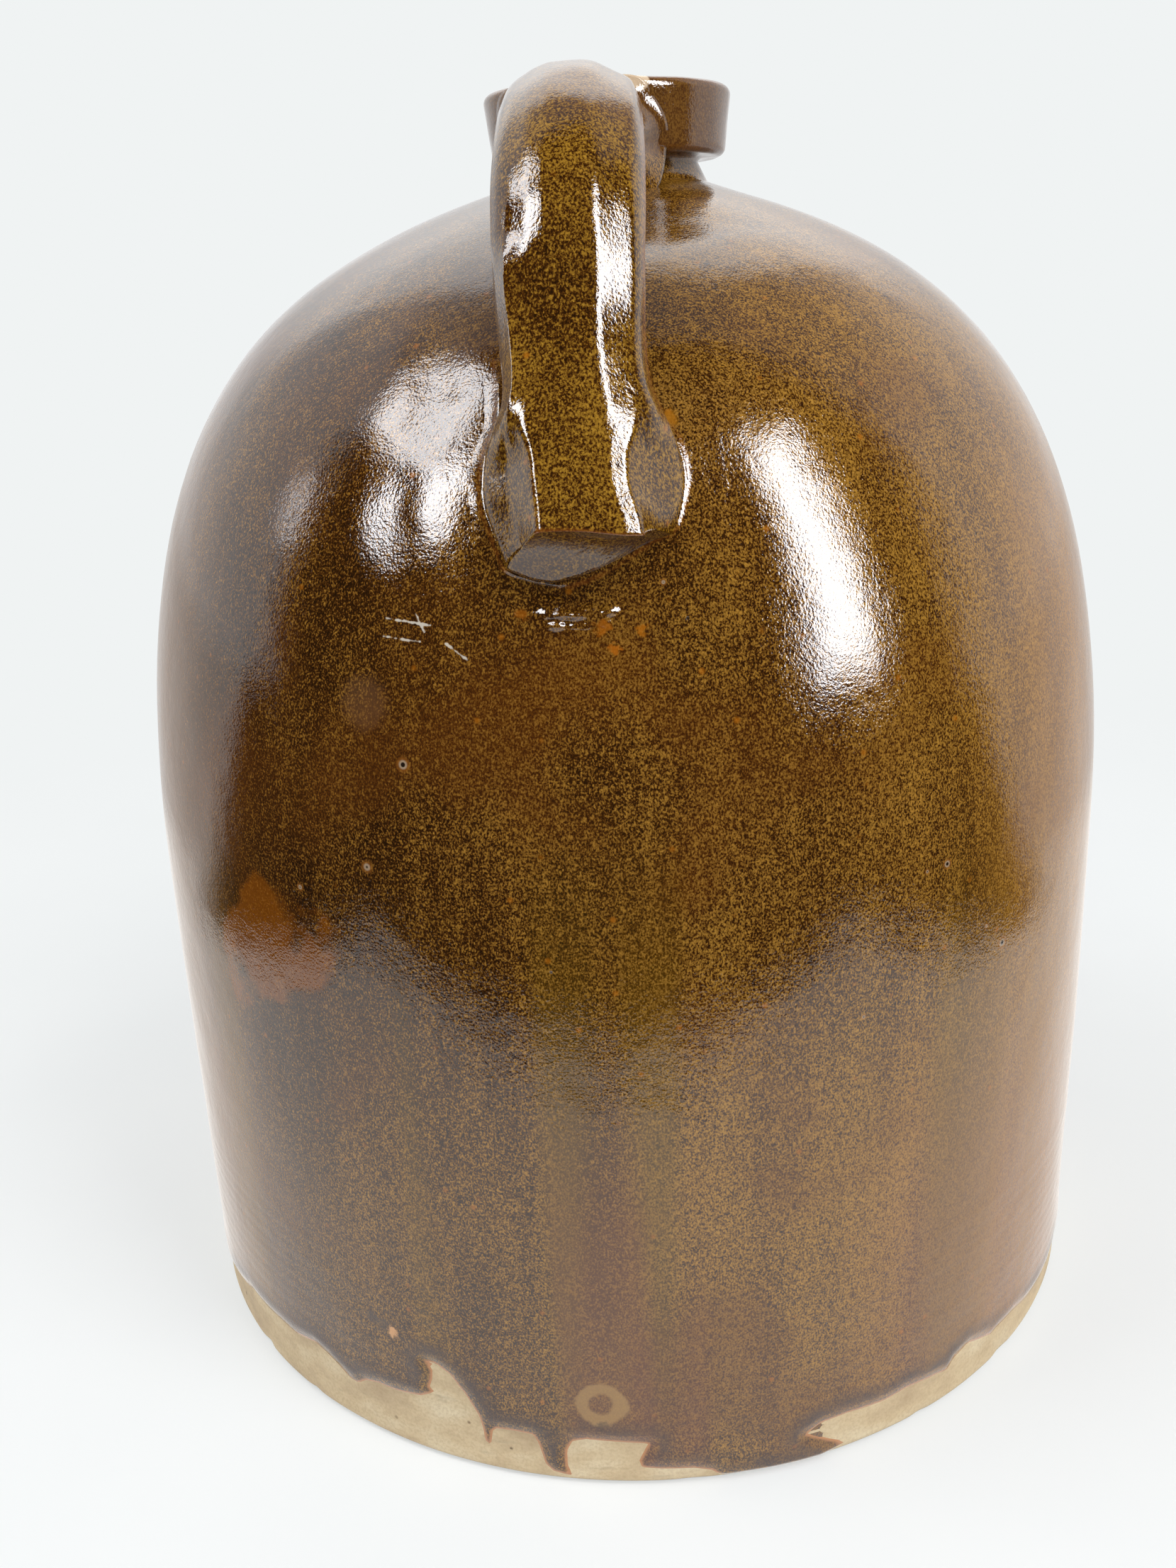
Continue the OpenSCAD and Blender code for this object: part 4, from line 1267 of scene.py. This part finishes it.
def speckled_glaze(name, look, olive, marks=False):
    """Brown glaze: fine dark and tan grain over broad tints, iron spots and pits, darker where
    it is thick and rusty where it is thin or worn, with an orange-peel surface. The darker
    slate on the strap's cut face is painted shade, set there through a deeper glaze depth.
    olive is how far the flecks lean to yellow-green."""
    material, web = new_material(name)
    where = web.add("ShaderNodeTexCoord").outputs["Object"]
    depth = web.add("ShaderNodeAttribute", attribute_name="glaze_depth").outputs["Fac"]
    wear = web.add("ShaderNodeAttribute", attribute_name="wear").outputs["Fac"]
    grain = web.noise(web.stretched(where, 0.75), 2400 if olive else 2700, 3.0, 0.65)
    clumps = web.noise(where, 800, 1.0)
    level = glaze_level(web, where, grain, clumps, olive)
    dark, brown = linear(*look.glaze_dark), linear(*look.glaze_brown)
    tan, green = linear(*look.glaze_tan), linear(150, 116, 16)
    fleck = tuple(a + (b - a) * olive for a, b in zip(tan, green))
    middle = tuple((a + b) / 2 for a, b in zip(brown, fleck))
    colour = web.ramp(level, [(0.36, dark), (0.47, brown), (0.55, middle), (0.66, fleck)])
    colour = glaze_zones(web, where, colour)
    iron = web.dots(where, 170.0, (0.15, 0.03), 0, (0.66, 0.74))
    colour = web.blend(web.math("MULTIPLY", iron, 0.55), colour, linear(168, 98, 14))
    pit = web.dots(where, 95.0, (0.035, 0.018), 1, (0.84, 0.88))
    colour = web.blend(web.math("MULTIPLY", pit, 0.8), colour, linear(24, 14, 8))
    # Slate where the glaze is thick: a real darker bead along the foot's edge, and painted shade on
    # the strap's cut face
    thick_glaze_and_cut_shade = web.math("MULTIPLY", web.span(depth, 1.04, 1.28),
                     web.span(web.noise(where, 110), 0.3, 0.65, 0.25, 0.8))
    colour = web.blend(thick_glaze_and_cut_shade, colour, linear(62, 44, 40))
    worn = web.span(web.math("ADD", wear, web.swing(clumps, 0.6)), 0.12, 1.0)
    colour = web.blend(web.math("MULTIPLY", worn, 0.6), colour, linear(138, 72, 22))
    colour = web.blend(web.span(depth, 0.5, 0.05), colour, linear(182, 124, 76))
    peel = web.bump(web.noise(where, 90, 5.0), 0.22 * MM)
    fine = web.bump(web.noise(where, 1900, 1.0, 0.6), 0.04 * MM, peel)
    sunk = web.bump(web.math("SUBTRACT", 1.0, pit), 0.25 * MM, fine)
    rough = web.span(grain, 0.3, 0.7, look.gloss, look.gloss + 0.06)
    if marks:
        colour = glaze_marks(web, where, colour)
    shader = web.add("ShaderNodeBsdfPrincipled", {
        "Base Color": colour, "Roughness": rough, "IOR": GLAZE_IOR, "Normal": sunk})
    web.add("ShaderNodeOutputMaterial", {0: shader.outputs[0]})
    return material


def glaze_marks(web, where, colour):
    """The kiln's single marks on the body: the dull band of the lip, a pale ring low on the front,
    a patch of rust, spots, scratches and pinholes, whose pale rims are painted highlights and
    whose dark cores are painted shade."""
    from_axis = web.away(web.stretched(where, 0), (0, 0, 0))
    height = web.add("ShaderNodeSeparateXYZ", {0: where}).outputs[2]
    on_lip = web.math("MULTIPLY", web.span(height, 0.2690, 0.2705),
                      web.span(from_axis, 31.5 * MM, 30 * MM))
    colour = web.blend(web.math("MULTIPLY", on_lip, 0.65), colour, linear(92, 58, 28))
    warp = web.swing(web.noise(where, 300), 2.4 * MM)
    broad = web.swing(web.noise(where, 45, 4.0), 60 * MM)
    ragged = web.swing(web.noise(where, 900), 3.2 * MM)
    gap = web.math("ADD", web.away(where, on_body(PALE_RING)), warp)
    ring = web.math("MULTIPLY", web.span(gap, 1.9 * MM, 3.0 * MM),
                    web.span(gap, 6.0 * MM, 5.0 * MM))
    colour = web.blend(web.math("MULTIPLY", ring, 0.72), colour, linear(158, 122, 70))
    patch = web.math("ADD", web.away(where, on_body(RUST_PATCH)), broad)
    colour = web.blend(web.span(patch, 14 * MM, 9 * MM, 0.0, 0.42), colour, linear(146, 80, 4))
    for pixel, size, share, tint in GLAZE_SPOTS:
        near = web.math("ADD", web.away(where, on_body(pixel)), ragged)
        spot = web.span(near, size * 1.5 * MM, size * 0.6 * MM)
        colour = web.blend(web.math("MULTIPLY", spot, share), colour, linear(*tint))
    for place, size, tint in JOINT_SPOTS:
        near = web.math("ADD", web.away(where, place), web.math("MULTIPLY", warp, 0.8))
        colour = web.blend(web.span(near, size * 1.1, size * 0.85), colour, linear(*tint))
    for start, end in SCRATCHES:
        near = web.math("ADD", from_line(web, where, on_body(start), on_body(end)),
                        web.math("MULTIPLY", ragged, 0.25))
        colour = web.blend(web.span(near, 0.3 * MM, 0.1 * MM), colour, linear(190, 180, 166))
    for pixel, size in PINHOLES:
        near = web.away(where, on_body(pixel))
        halo = web.math("MULTIPLY", web.span(near, size * 1.9 * MM, size * 1.1 * MM), 0.4)
        colour = web.blend(halo, colour, linear(150, 92, 34))
        # A pale ring painted as a highlight on the pinhole's rim
        painted_rim_highlight = web.span(near, size * 1.1 * MM, size * 0.7 * MM)
        colour = web.blend(painted_rim_highlight, colour, linear(150, 128, 104))
        # A dark core painted as shade inside the pinhole
        painted_hole_shade = web.span(near, size * 0.6 * MM, size * 0.4 * MM)
        colour = web.blend(painted_hole_shade, colour, linear(30, 20, 14))
    return colour


def from_line(web, where, start, end):
    """Distance of a point from the straight line between two places: from the place on it
    that the point's shadow falls on."""
    way = np.subtract(end, start)
    offset = web.add("ShaderNodeVectorMath", {0: where, 1: start}, operation="SUBTRACT").outputs[0]
    along = web.add("ShaderNodeVectorMath", {0: offset, 1: tuple(way / (way @ way))},
                    operation="DOT_PRODUCT").outputs["Value"]
    share = web.math("ADD", along, 0.0, clamp=True)
    shadow = web.add("ShaderNodeVectorMath", {0: tuple(way), "Scale": share}, operation="SCALE")
    gap = web.add("ShaderNodeVectorMath", {0: offset, 1: shadow.outputs[0]}, operation="DISTANCE")
    return gap.outputs["Value"]


def bare_clay(name, look):
    """Fired buff clay: soft clouds of warm and grey, fine grain, dark specks, and darker towards
    the lower edge."""
    material, web = new_material(name)
    where = web.add("ShaderNodeTexCoord").outputs["Object"]
    cloud = web.noise(web.stretched(where, 2.2), 60, 3.0, 0.6)
    grain = web.noise(where, 1400, 2.0, 0.6)
    base = linear(*look.clay)
    colour = web.ramp(cloud, [(0.32, linear(186, 163, 130)), (0.5, base),
                              (0.7, linear(220, 204, 172))])
    colour = web.blend(web.span(grain, 0.35, 0.75, 0.0, 0.35), colour, linear(166, 138, 104))
    speck = web.dots(where, 170.0, (0.12, 0.05), 0, (0.80, 0.86))
    colour = web.blend(web.math("MULTIPLY", speck, 0.75), colour, linear(96, 66, 44))
    height = web.add("ShaderNodeSeparateXYZ", {0: where}).outputs[2]
    smudge = web.noise(web.stretched(where, 3), 90, 4.0, 0.6)
    darker_bottom = web.math("MULTIPLY", web.span(height, 1.6 * MM, 0.2 * MM), 0.55)
    dirt = web.math("MULTIPLY", web.span(smudge, 0.60, 0.74), 0.35)
    for pixel, size, share in CLAY_SPOTS:
        near = web.math("ADD", web.away(where, on_body(pixel)), web.swing(grain, 0.8 * MM))
        spot = web.span(near, size * 1.2 * MM, size * 0.8 * MM, 0.0, share)
        colour = web.blend(spot, colour, linear(74, 50, 34))
    colour = web.blend(darker_bottom, colour, linear(104, 86, 66))
    colour = web.blend(dirt, colour, linear(150, 134, 112))
    shader = web.add("ShaderNodeBsdfPrincipled", {
        "Base Color": colour, "Roughness": web.span(cloud, 0.3, 0.7, 0.62, 0.78), "IOR": 1.45,
        "Normal": web.bump(grain, 0.06 * MM)})
    web.add("ShaderNodeOutputMaterial", {0: shader.outputs[0]})
    return material


class JugLook(bpy.types.PropertyGroup):
    """Colours and gloss of the jug's finishes."""

    glaze_dark: bpy.props.IntVectorProperty(
        name="Dark grain", description="Darkest grain of the glaze, as a screen shows it",
        default=(30, 14, 1), min=0, max=255)
    glaze_brown: bpy.props.IntVectorProperty(
        name="Brown", description="Main brown of the glaze, as a screen shows it",
        default=(68, 36, 4), min=0, max=255)
    glaze_tan: bpy.props.IntVectorProperty(
        name="Tan flecks", description="Lightest flecks of the glaze, as a screen shows them",
        default=(162, 118, 44), min=0, max=255)
    clay: bpy.props.IntVectorProperty(
        name="Bare clay", description="Fired clay of the foot, as a screen shows it",
        default=(207, 186, 150), min=0, max=255)
    gloss: bpy.props.FloatProperty(
        name="Roughness", description="Least roughness of the glaze", default=0.045,
        min=0.02, max=0.6, subtype="FACTOR")


class JugStage(bpy.types.PropertyGroup):
    """The light and the floor round the jug."""

    window_light: bpy.props.FloatProperty(
        name="Window light", description="Strength of the two windows' light on the scene",
        default=1.0, min=0.0, max=4.0)
    floor_reach: bpy.props.FloatProperty(
        name="Floor reach", description="Distance at which the floor fades into the backdrop",
        default=0.9, min=0.3, max=4.0, unit="LENGTH")


def finish(piece, material):
    """Gives a piece its material and its ride."""
    piece.data.materials.append(material)
    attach(piece, "root")


def kept_material(name, build):
    """A material that is made once and then shared."""
    return bpy.data.materials.get(name) or build()


def body_glaze():
    """The glaze of the body and of the clay pressed round the handle's end."""
    look = bpy.context.scene.jug_look
    return kept_material("jug_body_glaze",
                         lambda: speckled_glaze("jug_body_glaze", look, 0.0, marks=True))


def handle_glaze():
    """The handle's glaze, yellower than the body's."""
    look = bpy.context.scene.jug_look
    return kept_material("jug_handle_glaze",
                         lambda: speckled_glaze("jug_handle_glaze", look, 0.35))


def paint_node(name, material):
    """Puts a material in every slot of a CAD node."""
    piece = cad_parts[name]
    piece.data.materials.clear()
    piece.data.materials.append(material)


class JUG_OT_glazed_body(bpy.types.Operator):
    """Make the glaze coat with its irregular lower edge"""

    bl_idname = "jug.glazed_body"
    bl_label = "Glazed body"

    def execute(self, context):
        piece = make_glazed_body()
        finish(piece, body_glaze())
        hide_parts("outer_glaze_coat")
        return {"FINISHED"}


class JUG_OT_clay_body(bpy.types.Operator):
    """Make the bare clay barrel and paint the clay and the liner inside"""

    bl_idname = "jug.clay_body"
    bl_label = "Clay body"

    def execute(self, context):
        look = context.scene.jug_look
        clay = bare_clay("jug_bare_clay", look)
        for make, node in ((make_clay_barrel, "barrel"), (make_clay_shoulder, "domed_shoulder"),
                           (make_clay_lip, "lip_ring")):
            piece = make()
            finish(piece, clay)
            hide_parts(node)
        for name in ("neck_collar", "inner_glaze_liner"):
            paint_node(name, speckled_glaze(name + "_glaze", look, 0.0))
        return {"FINISHED"}


class JUG_OT_handle(bpy.types.Operator):
    """Make the strap handle and the clay that joins it at both ends"""

    bl_idname = "jug.handle"
    bl_label = "Strap handle"

    def execute(self, context):
        strap = make_strap_handle()
        finish(strap, handle_glaze())
        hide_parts("handle_strap")
        joint = make_lip_joint()
        finish(joint, body_glaze())
        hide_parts("upper_joint_clay")
        pressed = make_pressed_clay()
        finish(pressed, body_glaze())
        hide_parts("lower_joint_clay")
        return {"FINISHED"}


# Colour of the backdrop
BACKDROP = linear(240, 243, 243)


def near_angle(web, angle, middle, half, soft):
    """1 where an angle lies within half of a middle, 0 further out, with a soft edge. All but
    the angle are in degrees."""
    off = web.math("ABSOLUTE", web.math("SUBTRACT", angle, math.radians(middle)))
    return web.span(off, math.radians(half + soft), math.radians(half - soft))


def world_light():
    """Daylight in a room: white behind and beside the jug, brightest high behind it, and dim
    in front, where the windows stand in it for what is glossy."""
    world = bpy.data.worlds.new("room")
    bpy.context.scene.world = world
    world.use_nodes = True
    web = Web(world.node_tree)
    path = web.add("ShaderNodeLightPath")
    way = web.add("ShaderNodeTexCoord").outputs["Generated"]
    parts = web.add("ShaderNodeSeparateXYZ", {0: way})
    east, north, high = parts.outputs[0], parts.outputs[1], parts.outputs[2]
    azimuth = web.math("ARCTAN2", east, web.math("MULTIPLY", north, -1.0))
    lift = web.math("ARCSINE", high)
    turn = web.math("ABSOLUTE", azimuth)
    on_right = web.math("GREATER_THAN", azimuth, 0.0)
    side_start = web.math("ADD", web.math("MULTIPLY", on_right, 0.07), math.radians(79))
    on_side = web.span(turn, side_start, web.math("ADD", side_start, 0.24))
    left_wall = web.span(lift, math.radians(40), math.radians(66), 1.45, 0.40)
    right_wall = web.span(lift, math.radians(26), math.radians(60), 0.95, 0.35)
    wall = web.add("ShaderNodeMix", {0: on_right, 2: left_wall, 3: right_wall}).outputs[0]
    wall = web.math("MULTIPLY", wall, on_side)
    glossy = web.blend(wall, ROOM_DARK, ROOM_WHITE)
    back_start = web.math("ADD", web.math("MULTIPLY", on_right, 0.28), math.radians(130))
    back_full = web.math("ADD", back_start, 0.21)
    high_back = web.math("MULTIPLY", web.span(turn, back_start, back_full),
                         web.span(lift, math.radians(14), math.radians(34)))
    high_back = web.math("MULTIPLY", high_back,
                         web.span(lift, math.radians(68), math.radians(57)))
    glossy = web.blend(high_back, glossy, ROOM_HIGH_BACK)
    for side, side_half, up, up_half, soft, strength in WINDOWS:
        inside = web.math("MULTIPLY", near_angle(web, azimuth, side, side_half, soft),
                          near_angle(web, lift, up, up_half, soft))
        glossy = web.blend(inside, glossy, (strength, strength, strength * 1.02, 1))
    shade = web.blend(path.outputs["Is Glossy Ray"], AMBIENT, glossy)
    shade = web.blend(path.outputs["Is Camera Ray"], shade, BACKDROP)
    shade = web.blend(path.outputs["Is Transmission Ray"], shade, BACKDROP)
    light = web.add("ShaderNodeBackground", {0: shade, 1: 1.0})
    web.add("ShaderNodeOutputWorld", {0: light.outputs[0]})


def placed(right, up, back, place):
    """The matrix of an object with the given axes at a place."""
    matrix = np.eye(4)
    matrix[:3] = np.column_stack([right, up, back, place])
    return Matrix(matrix.tolist())


def add_lamp(name, side, up, size, power, context):
    """A soft lamp that looks at the jug's middle, from degrees round and up. The glaze doesn't
    mirror it, because the room's windows stand in its place."""
    light = bpy.data.lights.new(name, "AREA")
    light.shape = "RECTANGLE"
    light.size, light.size_y = size
    light.energy = power
    lamp = bpy.data.objects.new(name, light)
    context.scene.collection.objects.link(lamp)
    around, lift = math.radians(side), math.radians(up)
    back = np.array([math.sin(around) * math.cos(lift), -math.cos(around) * math.cos(lift),
                     math.sin(lift)])
    right = unit(np.cross([0, 0, 1.0], back))
    lamp.matrix_world = placed(right, np.cross(back, right), back, LAMP_AIM + LAMP_DISTANCE * back)
    lamp.visible_glossy = False
    lamp.visible_camera = False


def make_floor(stage):
    """A wide pale floor. The camera sees it fade into the backdrop far out. The glaze sees a
    white table that ends in front of the jug and beside it, and a dimmer floor further back."""
    corners = FLOOR_REACH * np.array([[-1, -1], [1, -1], [1, 1], [-1, 1]])
    points = np.column_stack([corners, np.full(4, FLOOR_LEVEL)])
    floor = mesh_piece("floor", points, [[0, 1, 2, 3]], smooth=False)
    material, web = new_material("floor")
    where = web.add("ShaderNodeTexCoord").outputs["Object"]
    path = web.add("ShaderNodeLightPath")
    parts = web.add("ShaderNodeSeparateXYZ", {0: where})
    east, north = parts.outputs[0], parts.outputs[1]
    away = web.away(where, (0, 0, 0))
    far = web.span(away, stage.floor_reach * 0.18, stage.floor_reach * 0.7, 0.6, 1.0)
    cloud = web.noise(where, 7, 3.0)
    colour = web.ramp(cloud, [(0.3, linear(236, 238, 239)), (0.7, linear(246, 247, 247))])
    matt = web.add("ShaderNodeBsdfPrincipled", {"Base Color": colour, "Roughness": 0.85})
    white = web.add("ShaderNodeEmission", {0: BACKDROP, 1: 1.0})
    seen = web.math("MULTIPLY", path.outputs["Is Camera Ray"], far)
    first = web.add("ShaderNodeMixShader", {0: seen, 1: matt.outputs[0], 2: white.outputs[0]})
    edge_front = web.span(north, TABLE_FRONT + 0.003, TABLE_FRONT - 0.003)
    side = web.math("ABSOLUTE", east)
    edge_side = web.math("MULTIPLY", web.span(side, TABLE_SIDE - 0.006, TABLE_SIDE + 0.006),
                         web.span(north, 0.14, 0.0))
    off_table = web.math("MAXIMUM", edge_front, edge_side)
    behind = web.span(north, -0.02, 0.12)
    sheen = web.blend(off_table, TABLE_SHEEN, ROOM_DARK)
    distant = web.math("MULTIPLY", web.span(away, 0.36, 0.48), behind)
    sheen = web.blend(distant, sheen, BACK_SHEEN)
    mirrored = web.add("ShaderNodeEmission", {0: sheen, 1: 1.0})
    second = web.add("ShaderNodeMixShader", {0: path.outputs["Is Glossy Ray"],
                                             1: first.outputs[0], 2: mirrored.outputs[0]})
    web.add("ShaderNodeOutputMaterial", {0: second.outputs[0]})
    floor.data.materials.append(material)


class JUG_OT_stage(bpy.types.Operator):
    """Set the camera, the floor, the backdrop and the light"""

    bl_idname = "jug.stage"
    bl_label = "Stage"

    def execute(self, context):
        place, forward, right, up = camera_axes()
        lens = bpy.data.cameras.new("camera")
        lens.sensor_width = SENSOR
        lens.lens = FOCAL_PIXELS / PHOTO_SIZE[1] * SENSOR
        lens.clip_start = 0.01
        camera = bpy.data.objects.new("camera", lens)
        context.scene.collection.objects.link(camera)
        camera.matrix_world = placed(right, up, -forward, place)
        context.scene.camera = camera
        stage = context.scene.jug_stage
        make_floor(stage)
        world_light()
        for name, side, up, size, power in LAMPS:
            add_lamp(name, side, up, size, power * stage.window_light, context)
        context.scene.view_settings.view_transform = "Standard"
        return {"FINISHED"}


class JUG_PT_panel(bpy.types.Panel):
    """Lists the jug's pieces, its finishes and its stage"""

    bl_idname = "JUG_PT_panel"
    bl_label = "Stoneware jug"
    bl_space_type = "VIEW_3D"
    bl_region_type = "UI"
    bl_category = "Jug"

    def draw(self, context):
        layout = self.layout
        look, stage = context.scene.jug_look, context.scene.jug_stage
        for name in ("glaze_dark", "glaze_brown", "glaze_tan", "clay", "gloss"):
            layout.prop(look, name)
        for name in ("window_light", "floor_reach"):
            layout.prop(stage, name)
        for operator in OPERATORS:
            layout.operator(operator.bl_idname)


OPERATORS = (JUG_OT_glazed_body, JUG_OT_clay_body, JUG_OT_handle, JUG_OT_stage)
CLASSES = (JugLook, JugStage) + OPERATORS + (JUG_PT_panel,)


def register():
    for each in CLASSES:
        bpy.utils.register_class(each)
    bpy.types.Scene.jug_look = bpy.props.PointerProperty(type=JugLook)
    bpy.types.Scene.jug_stage = bpy.props.PointerProperty(type=JugStage)


def unregister():
    del bpy.types.Scene.jug_stage
    del bpy.types.Scene.jug_look
    for each in reversed(CLASSES):
        bpy.utils.unregister_class(each)


def main():
    """Builds every piece and the stage."""
    register()
    bpy.ops.jug.stage()
    bpy.ops.jug.clay_body()
    bpy.ops.jug.glazed_body()
    bpy.ops.jug.handle()


if __name__ == "__main__":
    main()
